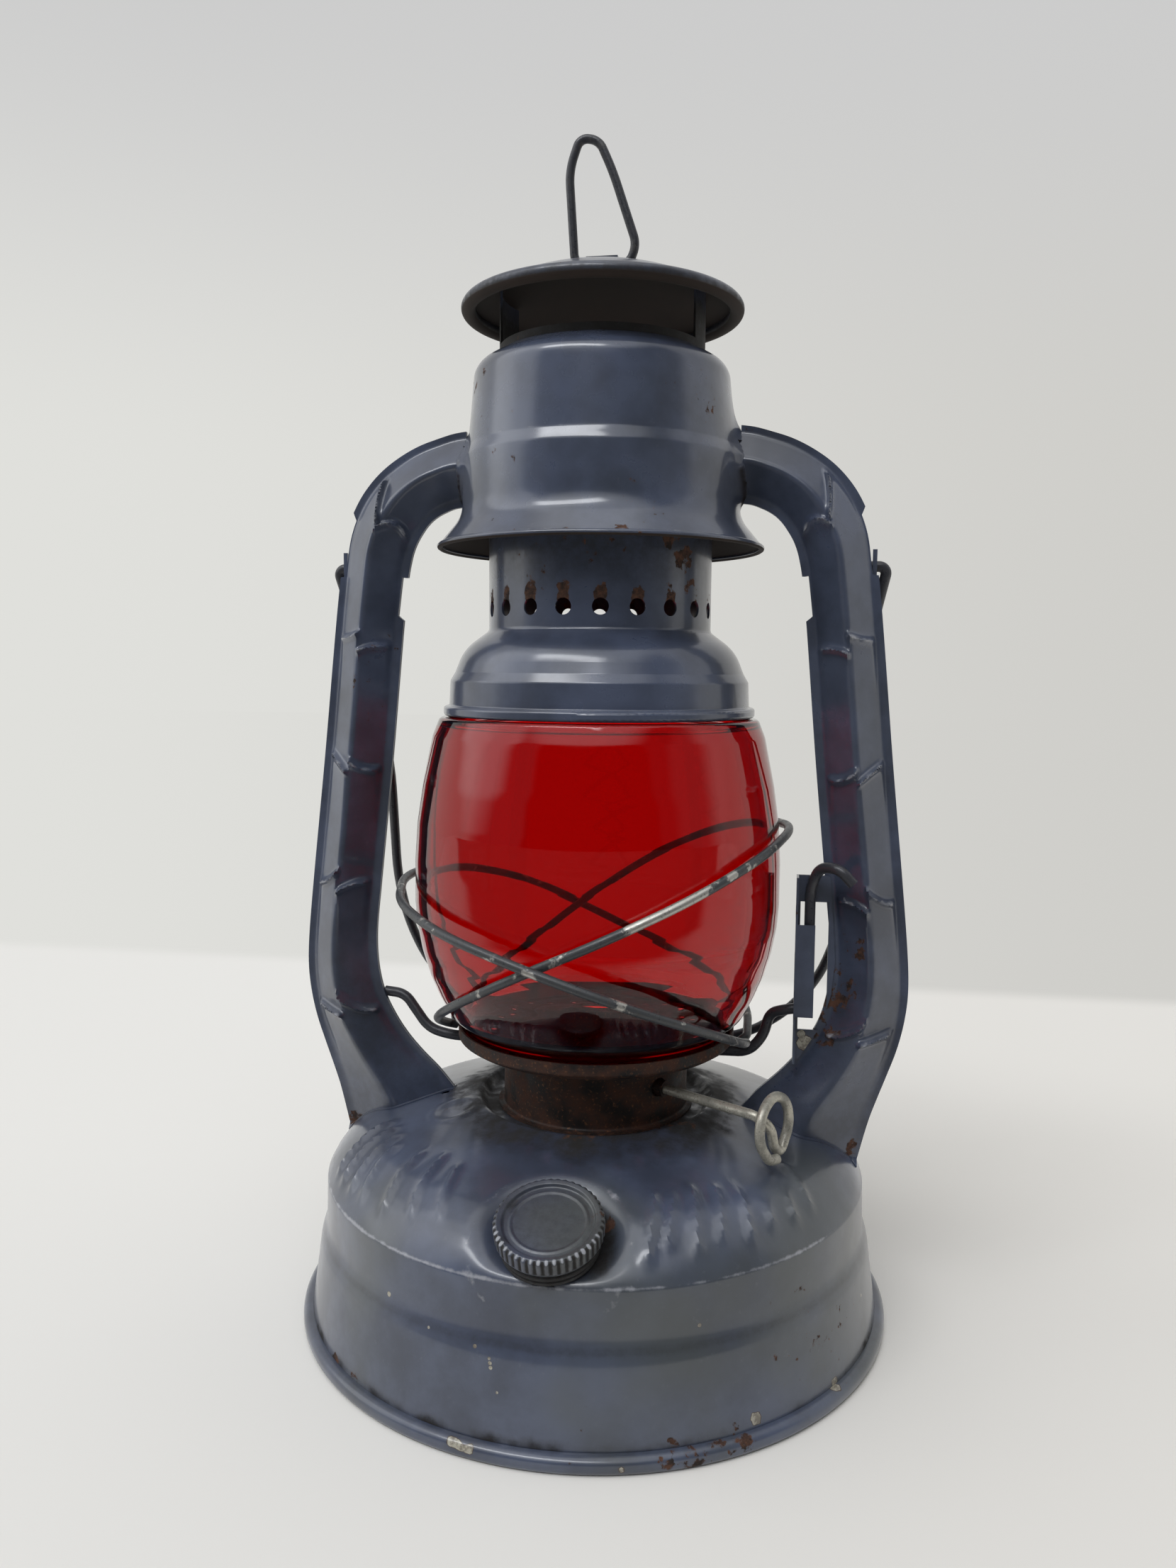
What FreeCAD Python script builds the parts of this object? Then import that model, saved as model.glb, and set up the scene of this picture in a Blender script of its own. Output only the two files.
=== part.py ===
"""Small tubular hurricane lantern: fount, burner, side tubes, globe, guard, chimney, hood and bail.

Millimetres, +Z up. The origin is on the table, under the middle of the fount. The tubes stand on
+X and -X, the filler cap faces -Y and the globe lever is beside the +X tube.
"""
import FreeCAD, Part
import Sketcher
import math
import os
from types import SimpleNamespace

from FreeCAD import Placement, Rotation, Vector

doc = FreeCAD.newDocument("hurricane_lantern")
sheet = doc.addObject("Spreadsheet::Sheet", "Sizes")
pieces = {}


class Size:
    """A length: its value now, and the sheet expression that it comes from."""

    def __init__(self, value, text):
        self.value = value
        self.text = text

    def __add__(self, other):
        other = as_size(other)
        return Size(self.value + other.value, f"({self.text} + {other.text})")

    def __radd__(self, other):
        return as_size(other) + self

    def __sub__(self, other):
        other = as_size(other)
        return Size(self.value - other.value, f"({self.text} - {other.text})")

    def __rsub__(self, other):
        return as_size(other) - self

    def __mul__(self, share):
        share = as_size(share)
        return Size(self.value * share.value, f"({self.text} * {share.text})")

    __rmul__ = __mul__


def as_size(number):
    return number if isinstance(number, Size) else Size(float(number), f"({float(number):.9f})")


def value(number):
    return as_size(number).value


def cells(**sizes):
    """Writes sizes to the sheet as aliased cells and returns them under the same names."""
    made = {}
    for name, size in sizes.items():
        row = cells.rows = cells.rows + 1
        sheet.set(f"A{row}", name)
        sheet.set(f"B{row}", str(size))
        sheet.setAlias(f"B{row}", name)
        made[name] = Size(float(size), f"Sizes.{name}")
    return SimpleNamespace(**made)


cells.rows = 0


def direction(start, end):
    """Unit vector from one (radius, height) point to the next."""
    across, up = value(end[0]) - value(start[0]), value(end[1]) - value(start[1])
    length = math.hypot(across, up)
    return across / length, up / length


def bend_of(corner):
    return corner[2] if len(corner) > 2 else None


def grown(path, distance):
    """The path moved to its left by a distance, with mitred corners and fitting bend radii."""
    moved = []
    for index, corner in enumerate(path):
        ways = []
        if index > 0:
            ways.append(direction(path[index - 1], corner))
        if index < len(path) - 1:
            ways.append(direction(corner, path[index + 1]))
        one, two = ways[0], ways[-1]
        share = 1 + one[0] * two[0] + one[1] * two[1]
        across = -(one[1] + two[1]) / share
        up = (one[0] + two[0]) / share
        place = (corner[0] + distance * across, corner[1] + distance * up)
        bend = bend_of(corner)
        if bend is not None:
            left = one[0] * two[1] - one[1] * two[0] > 0
            bend = bend - distance if left else bend + distance
            bend = bend if value(bend) > 0.05 else None
        moved.append(place if bend is None else place + (bend,))
    return moved


def walled(path, thickness):
    """Closed outline of a sheet: the path is its right side, and the thickness is to the left."""
    return list(path) + grown(path, thickness)[::-1]


def filled(path, grow=0.0):
    """Closed outline from the axis to a path that runs upward, grown outward for a clearance."""
    outer = grown(path, as_size(0 - grow))
    return [(0, outer[0][1])] + outer + ([(0, outer[-1][1])] if value(outer[-1][0]) > 1e-6 else [])


def trace(outline):
    """Edges of a closed outline: (start, end, arc), where an arc is (centre, radius, left turn)."""
    ends = []
    for index, corner in enumerate(outline):
        bend = bend_of(corner)
        place = (as_size(corner[0]), as_size(corner[1]))
        if bend is None:
            ends.append((place, place, None))
            continue
        one = direction(outline[index - 1], corner)
        two = direction(corner, outline[(index + 1) % len(outline)])
        turn = math.atan2(one[0] * two[1] - one[1] * two[0], one[0] * two[0] + one[1] * two[1])
        bend = as_size(bend)
        reach = bend * math.tan(abs(turn) / 2)
        start = (place[0] - reach * one[0], place[1] - reach * one[1])
        end = (place[0] + reach * two[0], place[1] + reach * two[1])
        side = math.copysign(bend.value, turn)
        centre = (start[0].value - side * one[1], start[1].value + side * one[0])
        ends.append((start, end, (centre, bend, turn > 0)))
    edges = []
    for index, (start, end, arc) in enumerate(ends):
        if arc:
            edges.append((start, end, arc))
        following = ends[(index + 1) % len(ends)][0]
        edges.append((end, following, None))
    return edges


def flat_curve(edge, lift=lambda across, up: Vector(across, up, 0)):
    """The Part curve of one traced edge, in the sketch plane or where lift puts it."""
    start, end, arc = edge
    first = (start[0].value, start[1].value)
    last = (end[0].value, end[1].value)
    if arc is None:
        return Part.LineSegment(lift(*first), lift(*last))
    centre, bend, left = arc
    middle = ((first[0] + last[0]) / 2 - centre[0], (first[1] + last[1]) / 2 - centre[1])
    length = math.hypot(*middle)
    crown = [centre[i] + middle[i] / length * bend.value for i in (0, 1)]
    return Part.Arc(lift(*first), lift(*crown), lift(*last))


def outline_sketch(body, label, outline):
    """Sketch of a closed outline in the body's XZ plane, each corner bound to the sheet."""
    sketch = body.newObject("Sketcher::SketchObject", label)
    plane = [f for f in body.Origin.OriginFeatures if f.Role == "XZ_Plane"][0]
    sketch.AttachmentSupport = [(plane, "")]
    sketch.MapMode = "FlatFace"
    edges = trace(outline)
    limits = []
    for start, end, arc in edges:
        if arc is None:
            number = sketch.addGeometry(flat_curve((start, end, None)), False)
            limits.append((number, 1, 2))
            continue
        centre, bend, left = arc
        angles = [math.atan2(p[1].value - centre[1], p[0].value - centre[0]) for p in (start, end)]
        circle = Part.Circle(Vector(*centre, 0), Vector(0, 0, 1), bend.value)
        low, high = angles if left else angles[::-1]
        if high < low:
            high += 2 * math.pi
        number = sketch.addGeometry(Part.ArcOfCircle(circle, low, high), False)
        limits.append((number, 1, 2) if left else (number, 2, 1))
    for (start, end, arc), (number, first, last) in zip(edges, limits):
        if arc is not None:
            bind_constraint(sketch, ("Radius", number, arc[1].value), arc[1])
        for axis, kind, place in ((-2, "DistanceX", start[0]), (-1, "DistanceY", start[1])):
            if abs(place.value) < 1e-9:
                sketch.addConstraint(Sketcher.Constraint("PointOnObject", number, first, axis))
            else:
                bind_constraint(sketch, (kind, -1, 1, number, first, place.value), place)
    for (number, first, last), (following, begin, stop) in zip(limits, limits[1:] + limits[:1]):
        sketch.addConstraint(Sketcher.Constraint("Coincident", number, last, following, begin))
    return sketch


def bind_constraint(sketch, constraint, size):
    number = sketch.addConstraint(Sketcher.Constraint(*constraint))
    sketch.setExpression(f"Constraints[{number}]", size.text)


def revolved(label, outline):
    """A body turned about the Z axis from a closed outline of (radius, height, bend) corners."""
    body = doc.addObject("PartDesign::Body", label)
    sketch = outline_sketch(body, f"{label}_outline", outline)
    turned = body.newObject("PartDesign::Revolution", f"{label}_turned")
    turned.Profile = sketch
    turned.ReferenceAxis = (sketch, ["V_Axis"])
    turned.Angle = 360
    sketch.Visibility = False
    return body


def primitive(kind, label, at=(0, 0, 0), turn=None, **sizes):
    """A Part primitive whose sizes and place are bound to the sheet."""
    made = doc.addObject(f"Part::{kind}", label)
    if turn is not None:
        made.Placement = Placement(Vector(), turn)
    for name, size in sizes.items():
        made.setExpression(name, as_size(size).text)
    for axis, place in zip("xyz", at):
        made.setExpression(f"Placement.Base.{axis}", as_size(place).text)
    return made


def joined(label, *solids):
    made = doc.addObject("Part::MultiFuse", label)
    made.Shapes = list(solids)
    return made


def cut(label, base, *tools):
    """The base less its tools, which are taken off one after another."""
    for number, tool in enumerate(tools):
        last = number == len(tools) - 1
        made = doc.addObject("Part::Cut", label if last else f"{label}_less_{tool.Name}")
        made.Base = base
        made.Tool = tool
        base = made
    return base


def mirrored(label, source, normal):
    made = doc.addObject("Part::Mirroring", label)
    made.Source = source
    made.Normal = normal
    return made


def shaped(label, shape, placement=None):
    """A computed shape under its own name; its sizes come from the sheet's values."""
    made = doc.addObject("Part::Feature", label)
    made.Shape = shape
    if placement is not None:
        made.Placement = placement
    return made


def ring_of(label, kind, count, radius, height, first_angle, turn_of, **sizes):
    """Compound of like tools spaced evenly about the Z axis."""
    tools = []
    for number in range(count):
        angle = first_angle + 360 * number / count
        across, away = math.cos(math.radians(angle)), math.sin(math.radians(angle))
        place = (radius * across, radius * away, height)
        tools.append(primitive(kind, f"{label}_{number}", place, turn_of(angle), **sizes))
    made = doc.addObject("Part::Compound", label)
    made.Links = tools
    return made


def point(across, away, up):
    return Vector(value(across), value(away), value(up))


def bent_path(points, bend=None):
    """Straight runs joined by tangent arcs, as large as their runs allow unless a bend is given."""
    edges = []
    start = points[0]
    for before, corner, after in zip(points, points[1:], points[2:]):
        one = (corner - before).normalize()
        two = (after - corner).normalize()
        half = one.getAngle(two) / 2
        room = 0.45 * min((corner - before).Length, (after - corner).Length)
        radius = room / math.tan(half)
        if bend is not None:
            radius = min(radius, bend)
        reach = radius * math.tan(half)
        inward = (two - one).normalize()
        first, last = corner - one * reach, corner + two * reach
        crown = corner + inward * (radius / math.cos(half) - radius)
        edges.append(Part.LineSegment(start, first).toShape())
        edges.append(Part.Arc(first, crown, last).toShape())
        start = last
    edges.append(Part.LineSegment(start, points[-1]).toShape())
    return Part.Wire(edges)


def bent_wire(label, points, diameter, bend=None):
    """A round wire along a bent path; its volume is compared with section times length."""
    path = bent_path(points, None if bend is None else value(bend))
    radius = value(diameter) / 2
    circle = Part.Circle(points[0], (points[1] - points[0]).normalize(), radius)
    solid = path.makePipeShell([Part.Wire([circle.toShape()])], True, False)
    wanted = math.pi * radius**2 * path.Length
    if abs(solid.Volume - wanted) > 0.02 * wanted:
        raise ValueError(f"{label}: the wire's volume is {solid.Volume:.1f}, not {wanted:.1f}")
    return shaped(label, solid)


def keep(*solids):
    """Each finished sub-part is kept under its label, which names its file."""
    for solid in solids:
        pieces[solid.Label] = solid


def about_z(angle):
    return Rotation(Vector(0, 0, 1), angle)


def outward(angle):
    """Turns a tool's own Z axis to point outward at an angle about the lantern's axis."""
    swing = math.radians(angle)
    return Rotation(Vector(0, 0, 1), Vector(math.cos(swing), math.sin(swing), 0))


# Sheet, wires and clearances shared by the whole lantern
common = cells(
    sheet_wall=0.6,
    seat_gap=0.3,
    face_gap=0.05,
    pin_clearance=0.06,
    slide_clearance=0.6,
    frame_wire=3.0,
    wire_room=0.4,
    ring_wire=2.4,
    guard_wire=2.5,
)
wall = common.sheet_wall

# Fount: a drawn shell with a step in its side, a domed top and a well, on a rolled bottom bead
fount = cells(
    bead_reach=2.7,
    bead_width=4.6,
    bead_height=4.3,
    bottom_height=8.0,
    side_radius=82.1,
    step_low=24.5,
    step_high=29.5,
    step_depth=1.7,
    side_lean=2.6,
    shoulder_height=41.0,
    dome_inset=4.7,
    dome_corner_height=51.1,
    dome_bend=22.0,
    well_ring_radius=34.2,
    well_ring_height=61.3,
    well_radius=31.6,
    well_floor=58.6,
    well_hole=21.0,
)
step_radius = fount.side_radius - fount.side_lean
upper_radius = step_radius - fount.step_depth
bead_radius = fount.side_radius + fount.bead_reach
dome_corner_radius = upper_radius - fount.dome_inset


def fitting_bend(before, corner, after, bend):
    """The bend, or as much of it as the shorter run beside the corner has room for."""
    one, two = direction(before, corner), direction(corner, after)
    turn = abs(math.atan2(one[0] * two[1] - one[1] * two[0], one[0] * two[0] + one[1] * two[1]))
    run = math.hypot(value(corner[0]) - value(before[0]), value(corner[1]) - value(before[1]))
    return bend * min(1.0, 0.96 * run / (value(bend) * math.tan(0.5 * turn)))


shoulder = (upper_radius - 0.2, fount.shoulder_height)
dome_corner = (dome_corner_radius, fount.dome_corner_height)
dome_bend = fitting_bend(
    shoulder, dome_corner, (fount.well_ring_radius, fount.well_ring_height), fount.dome_bend,
)
shell_path = [
    (fount.side_radius, fount.bead_height + common.face_gap),
    (step_radius, fount.step_low, 4),
    (upper_radius, fount.step_high, 4),
    shoulder + (1.4,),
    dome_corner + (dome_bend,),
    (fount.well_ring_radius, fount.well_ring_height, 1.6),
    (fount.well_radius, fount.well_floor, 1.2),
    (0, fount.well_floor),
]
fount_outside = revolved("fount_outside", filled(shell_path))
fount_inside = revolved("fount_inside", filled(shell_path, 0 - wall))

# Filler: the neck stands in a dished seat on the front of the dome, leaning outward
filler = cells(
    lean=21.0,
    seat_inset=5.4,
    seat_drop=4.8,
    seat_room=0.8,
    seat_flare=4.7,
    seat_depth=5.0,
    neck_radius=10.5,
    neck_height=6.3,
    neck_foot=7.0,
    thread_depth=0.5,
    thread_pitch=1.6,
    cap_room=1.6,
    cap_height=9.4,
    cap_rim_reach=1.4,
    cap_rim_height=2.6,
    seal_wall=1.2,
)
cap_radius = filler.neck_radius + filler.cap_room
cap_rim_radius = cap_radius + filler.cap_rim_reach
seat_radius = cap_rim_radius + filler.seat_room
seat_out = dome_corner_radius - filler.seat_inset
seat_height = fount.dome_corner_height - filler.seat_drop
filler_axis = Rotation(Vector(1, 0, 0), filler.lean.value)
filler_seat = (0, 0 - seat_out, seat_height)


def on_filler(height):
    """A place on the filler's axis, a height above its seat."""
    lean = math.radians(filler.lean.value)
    return (0, 0 - seat_out - height * math.sin(lean), seat_height + height * math.cos(lean))


def at_filler(body):
    """Moves a body that was turned about the Z axis to the filler's leaning axis."""
    body.Placement = Placement(point(*filler_seat), filler_axis)
    return body


def seat_tool(label, deeper):
    """The dished seat as a leaning cone; the inner one is a sheet's thickness deeper and wider."""
    return primitive(
        "Cone", label, on_filler(0 - as_size(deeper)), filler_axis,
        Radius1=seat_radius + deeper,
        Radius2=seat_radius + 2 * filler.seat_flare + deeper,
        Height=2 * filler.seat_depth,
    )


def feet_openings(label, low, high):
    """Blocks through the dome under both tube feet, where air enters the chamber."""
    return joined(label, *[
        primitive(
            "Box", f"{label}_{side}", (side_place, 0 - 0.5 * air.opening_width, low),
            Length=air.opening_length, Width=air.opening_width, Height=as_size(high) - low,
        )
        for side, side_place in (
            ("right", air.opening_start),
            ("left", 0 - air.opening_start - air.opening_length),
        )
    ])


def under_dome(radius):
    """Height of the dome's inner face at a radius on its slope."""
    across = value(dome_corner_radius - fount.well_ring_radius)
    fall = value(fount.well_ring_height - fount.dome_corner_height) / across
    return fount.well_ring_height - (radius - fount.well_ring_radius) * fall - wall


air = cells(
    opening_start=43.5,
    opening_length=4.0,
    opening_width=7.0,
    chamber_radius=48.5,
    chamber_gap=0.45,
    chamber_floor=46.0,
)
fount_solid = cut("fount_solid", fount_outside, seat_tool("seat_dish", 0.0))
fount_hollow = cut("fount_hollow", fount_inside, seat_tool("seat_dish_below", wall))
neck_hole = primitive(
    "Cylinder", "neck_hole", on_filler(0 - 2 * filler.neck_foot), filler_axis,
    Radius=filler.neck_radius + common.seat_gap, Height=3 * filler.neck_foot,
)
well_hole = primitive(
    "Cylinder", "well_hole", (0, 0, fount.well_floor - 5), Radius=fount.well_hole, Height=10,
)
keep(cut(
    "fount_shell", fount_solid, fount_hollow, neck_hole, well_hole,
    feet_openings("feet_openings", fount.well_floor - 6, fount.well_ring_height),
))

# Fount bottom: a raised disc whose edge is rolled into the bead that the lantern stands on
bead_inner = bead_radius - fount.bead_width
keep(revolved("fount_bottom", [
    (0, fount.bottom_height - wall),
    (bead_inner, fount.bottom_height - wall),
    (bead_inner, 0, 0.8),
    (bead_radius, 0, 1.6),
    (bead_radius, fount.bead_height, 2.0),
    (bead_inner + wall, fount.bead_height),
    (bead_inner + wall, fount.bottom_height, 0.4),
    (0, fount.bottom_height),
]))

# Filler neck with its rolled thread, and the screw cap with a knurled rim
thread_radius = filler.neck_radius + filler.thread_depth
neck_outline = [
    (filler.neck_radius - wall, 0 - filler.neck_foot),
    (filler.neck_radius, 0 - filler.neck_foot),
]
for ridge in range(3):
    crest = filler.neck_height - 0.9 - ridge * filler.thread_pitch
    neck_outline[2:2] = [
        (filler.neck_radius, crest - 0.9),
        (thread_radius, crest - 0.6),
        (thread_radius, crest - 0.3),
        (filler.neck_radius, crest),
    ]
neck_outline += [(filler.neck_radius, filler.neck_height), (filler.neck_radius - wall, filler.neck_height)]
keep(at_filler(revolved("filler_neck", neck_outline)))

cap_top = filler.cap_height
cap_skirt = cap_radius - wall
rim_low = cap_top - filler.cap_rim_height
cap_blank = revolved("cap_blank", [
    (cap_skirt, 0.8),
    (cap_radius, 0.8),
    (cap_radius, rim_low - 0.5),
    (cap_rim_radius, rim_low, 0.4),
    (cap_rim_radius, cap_top, 0.8),
    (cap_radius - 0.4, cap_top, 0.5),
    (cap_radius - 0.9, cap_top - 0.8),
    (cap_radius - 1.6, cap_top - 0.8),
    (cap_radius - 2.1, cap_top - 0.4, 0.3),
    (cap_radius - 2.6, cap_top - 0.8),
    (0, cap_top - 0.8),
    (0, cap_top - 0.8 - wall),
    (cap_skirt, cap_top - 0.8 - wall),
])
scallops = ring_of(
    "cap_scallops", "Cylinder", 40, cap_rim_radius + 0.55, rim_low - 1, 0,
    lambda angle: Rotation(), Radius=0.8, Height=filler.cap_rim_height + 2,
)
fuel_cap = cut("fuel_cap", cap_blank, scallops)
keep(at_filler(fuel_cap))
seal_top = cap_top - 0.8 - wall - common.face_gap
keep(at_filler(revolved("cap_seal", [
    (filler.neck_radius - 2.6, seal_top - filler.seal_wall),
    (cap_skirt - common.seat_gap, seal_top - filler.seal_wall),
    (cap_skirt - common.seat_gap, seal_top),
    (filler.neck_radius - 2.6, seal_top),
])))

# Air chamber under the dome: the tubes' feet open into it, and it feeds the burner
burner = cells(
    collar_radius=20.6,
    collar_foot=45.2,
    collar_flange=2.9,
    drum_radius=26.8,
    drum_top=76.5,
    drum_foot=1.6,
    deck_radius=19.4,
    deck_height=63.0,
    deck_skirt=8.0,
    wick_width=10.0,
    wick_thick=1.6,
    wick_foot=14.0,
    wick_top=82.6,
    wick_tube_foot=41.0,
    wick_tube_top=81.6,
    wick_tube_wall=0.4,
    wick_clearance=0.25,
)
keep(revolved("air_chamber", walled([
    (burner.collar_radius + common.seat_gap, air.chamber_floor + 3),
    (burner.collar_radius + common.seat_gap, air.chamber_floor, 1.0),
    (air.chamber_radius - 1, air.chamber_floor, 2.5),
    (air.chamber_radius, under_dome(air.chamber_radius) - air.chamber_gap),
], wall)))

# Burner collar soldered in the well, the burner screwed into it, and the drum round it
collar_flange_radius = burner.collar_radius + burner.collar_flange
flange_low = fount.well_floor + common.face_gap
keep(revolved("burner_collar", [
    (burner.collar_radius - wall, burner.collar_foot),
    (burner.collar_radius, burner.collar_foot),
    (burner.collar_radius, flange_low),
    (collar_flange_radius, flange_low),
    (collar_flange_radius, flange_low + wall),
    (burner.collar_radius - wall, flange_low + wall),
]))
deck_top = burner.deck_height
deck_blank = revolved("deck_blank", walled([
    (burner.deck_radius, deck_top - burner.deck_skirt),
    (burner.deck_radius, deck_top, 1.5),
    (0, deck_top),
], wall))
wick_room = burner.wick_clearance
tube_thick = burner.wick_thick + 2 * (wick_room + burner.wick_tube_wall)
tube_width = burner.wick_width + 2 * (wick_room + burner.wick_tube_wall)


def wick_block(label, width, thick, low, high):
    """A block round the wick, turned so that its broad side lies along the wick shaft."""
    along, aside = math.cos(math.radians(shaft_angle)), math.sin(math.radians(shaft_angle))
    corner = (
        as_size(thick) * (0.5 * aside) - as_size(width) * (0.5 * along),
        0 - as_size(thick) * (0.5 * along) - as_size(width) * (0.5 * aside),
        low,
    )
    return primitive(
        "Box", label, corner, about_z(shaft_angle), Length=width, Width=thick, Height=as_size(high) - low,
    )


knob = cells(
    shaft_azimuth=31.5,
    shaft_height=69.5,
    shaft_reach=61.0,
    shaft_wire=2.7,
    loop_radius=7.85,
    wheel_radius=3.0,
    wheel_width=2.0,
    wheel_spacing=5.0,
    bush_radius=2.3,
    bush_length=6.0,
    drum_hole=2.6,
)
shaft_angle = -knob.shaft_azimuth.value
shaft_way = Vector(math.cos(math.radians(shaft_angle)), math.sin(math.radians(shaft_angle)), 0)
shaft_side = Vector(shaft_way.y, -shaft_way.x, 0)
shaft_offset = value(knob.wheel_radius + burner.wick_thick * 0.5 + 0.15)


def on_shaft(along, aside=0.0, up=0.0):
    """A place along the wick shaft, beside it and above it."""
    return (
        shaft_way * value(along) + shaft_side * (shaft_offset + value(aside))
        + Vector(0, 0, knob.shaft_height.value + value(up))
    )


tube_slot = wick_block("deck_slot", tube_width + 0.6, tube_thick + 0.6, deck_top - 4, deck_top + 4)
keep(cut("burner_body", deck_blank, tube_slot))
tube_blank = wick_block(
    "wick_tube_blank", tube_width, tube_thick, burner.wick_tube_foot, burner.wick_tube_top,
)
tube_bore = wick_block(
    "wick_tube_bore", burner.wick_width + 2 * wick_room, burner.wick_thick + 2 * wick_room,
    burner.wick_tube_foot - 1, burner.wick_tube_top + 1,
)


def shaft_cylinder(label, along, length, radius):
    """A cylinder on the wick shaft's line."""
    line = Rotation(Vector(0, 0, 1), shaft_way)
    return primitive("Cylinder", label, tuple(on_shaft(along)), line, Radius=radius, Height=length)


wheel_centres = [-0.5 * knob.wheel_spacing.value, 0.5 * knob.wheel_spacing.value]
wheel_windows = [
    shaft_cylinder(
        f"wheel_window_{number}", centre - 0.5 * knob.wheel_width.value - 0.4,
        knob.wheel_width + 0.8, knob.wheel_radius + 0.6,
    )
    for number, centre in enumerate(wheel_centres)
]
keep(cut("wick_tube", tube_blank, tube_bore, *wheel_windows))
keep(wick_block(
    "wick", burner.wick_width, burner.wick_thick, burner.wick_foot, burner.wick_top,
))

drum_blank = revolved("drum_blank", walled([
    (burner.drum_radius + burner.drum_foot, flange_low + wall),
    (burner.drum_radius, flange_low + wall, 0.7),
    (burner.drum_radius, burner.drum_top),
], wall))
lift = cells(
    travel=14.0,
    detour_start=20.0,
    detour=13.0,
    plate_hole=23.0,
    plate_deck=79.9,
    plate_radius=38.3,
    plate_drop=2.4,
    rim_radius=40.2,
    rim_top=82.4,
    cone_radius=21.5,
    cone_top=86.2,
    cone_slot_width=15.0,
    cone_slot_thick=5.0,
)
cross_height = lift.plate_deck - lift.plate_drop - wall - 0.2 - 0.5 * common.frame_wire
slot_width = common.frame_wire + 2 * common.wire_room
wire_slots = [
    primitive(
        "Box", f"wire_slot_{side}", (place, 0 - 0.5 * slot_width, cross_height - 0.5 * slot_width),
        Length=8, Width=slot_width, Height=20,
    )
    for side, place in (("right", burner.drum_radius - 4), ("left", 0 - burner.drum_radius - 4))
]
shaft_hole = shaft_cylinder("shaft_hole", burner.drum_radius - 6, 12, knob.drum_hole)
keep(cut("burner_drum", drum_blank, *wire_slots, shaft_hole))

# Wick shaft: one wire from the wheels out over the dome, ending in a loop to turn it by
bush_start = burner.drum_radius - 4
bush_solid = shaft_cylinder("bush_solid", bush_start, knob.bush_length, knob.bush_radius)
bush_bore = shaft_cylinder(
    "bush_bore", bush_start - 1, knob.bush_length + 2, 0.5 * knob.shaft_wire + common.pin_clearance,
)
keep(cut("shaft_bush", bush_solid, bush_bore))
loop_aside, loop_drop = 4.0, 3.4
loop_points = [
    on_shaft(-0.5 * value(knob.wheel_spacing) - 3),
    on_shaft(value(knob.shaft_reach) - 2.5),
    on_shaft(knob.shaft_reach, -3.2, -3.4),
    on_shaft(knob.shaft_reach, -5.0, -9.6),
    on_shaft(knob.shaft_reach, -8.2, -11.4),
]
for angle in (80, 130, 180, 230, 280, 330, 354):
    swing = math.radians(angle)
    reach = knob.loop_radius.value / (1 if angle > 350 else math.cos(math.radians(25)))
    forward = 0.012 * max(angle - 180, 0)
    loop_points.append(on_shaft(
        knob.shaft_reach.value + forward,
        0 - loop_aside - reach * math.sin(swing),
        0 - loop_drop - reach * math.cos(swing),
    ))
keep(bent_wire("wick_shaft", loop_points, knob.shaft_wire))
wheels = []
for number, centre in enumerate(wheel_centres):
    disc = shaft_cylinder(
        f"wheel_disc_{number}", centre - 0.5 * knob.wheel_width.value, knob.wheel_width, knob.wheel_radius,
    )
    bore = shaft_cylinder(
        f"wheel_bore_{number}", centre - knob.wheel_width.value, 2 * knob.wheel_width,
        0.5 * knob.shaft_wire + 0.01,
    )
    wheels.append(cut(f"wheel_{number}", disc, bore))
wick_wheels = doc.addObject("Part::Compound", "wick_wheels")
wick_wheels.Links = wheels
keep(wick_wheels)

# Globe plate with its upturned rim and air holes, and the slotted cone over the flame
plate_blank = revolved("plate_blank", walled([
    (lift.plate_hole, lift.plate_deck - wall),
    (lift.plate_radius - 2.2, lift.plate_deck - wall, 0.9),
    (lift.plate_radius - 0.6, lift.plate_deck - lift.plate_drop, 0.8),
    (lift.rim_radius, lift.plate_deck - 0.8, 0.9),
    (lift.rim_radius, lift.rim_top),
], wall))
air_holes = ring_of(
    "air_holes", "Cylinder", 24, 30.5, lift.plate_deck - 4, 7.5, lambda angle: Rotation(),
    Radius=1.3, Height=8,
)
keep(cut("globe_plate", plate_blank, air_holes))
cone_blank = revolved("cone_blank", walled([
    (lift.plate_hole + 2.5, lift.plate_deck + common.face_gap + wall),
    (lift.cone_radius, lift.plate_deck + common.face_gap + wall, 0.5),
    (lift.cone_radius - 4, lift.plate_deck + 3.4, 6),
    (7.5, lift.cone_top, 3),
    (0, lift.cone_top),
], wall))
cone_slot = wick_block(
    "cone_slot", lift.cone_slot_width, lift.cone_slot_thick, lift.cone_top - 6, lift.cone_top + 2,
)
keep(cut("burner_cone", cone_blank, cone_slot))

# Globe: blown ruby glass, widest at its middle
glass = cells(
    glass_wall=2.2,
    globe_seat=0.4,
    globe_rim_room=2.0,
    globe_height=91.1,
    globe_waist=52.35,
    globe_low_turn=25.0,
    globe_high_turn=29.4,
    globe_top_radius=46.1,
)
globe_foot = lift.plate_deck + glass.globe_seat
globe_foot_radius = lift.rim_radius - glass.globe_rim_room
globe_top = globe_foot + glass.globe_height
keep(revolved("globe", walled([
    (globe_foot_radius, globe_foot),
    (globe_foot_radius + 0.6, globe_foot + 2.8, 2),
    (globe_foot_radius + 4.6, globe_foot + 6.4, 3),
    (glass.globe_waist, globe_foot + glass.globe_low_turn, 57),
    (glass.globe_waist, globe_top - glass.globe_high_turn, 108),
    (glass.globe_top_radius, globe_top, 1.4),
    (glass.globe_top_radius - 3.2, globe_top + 0.1),
], glass.glass_wall)))

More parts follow.
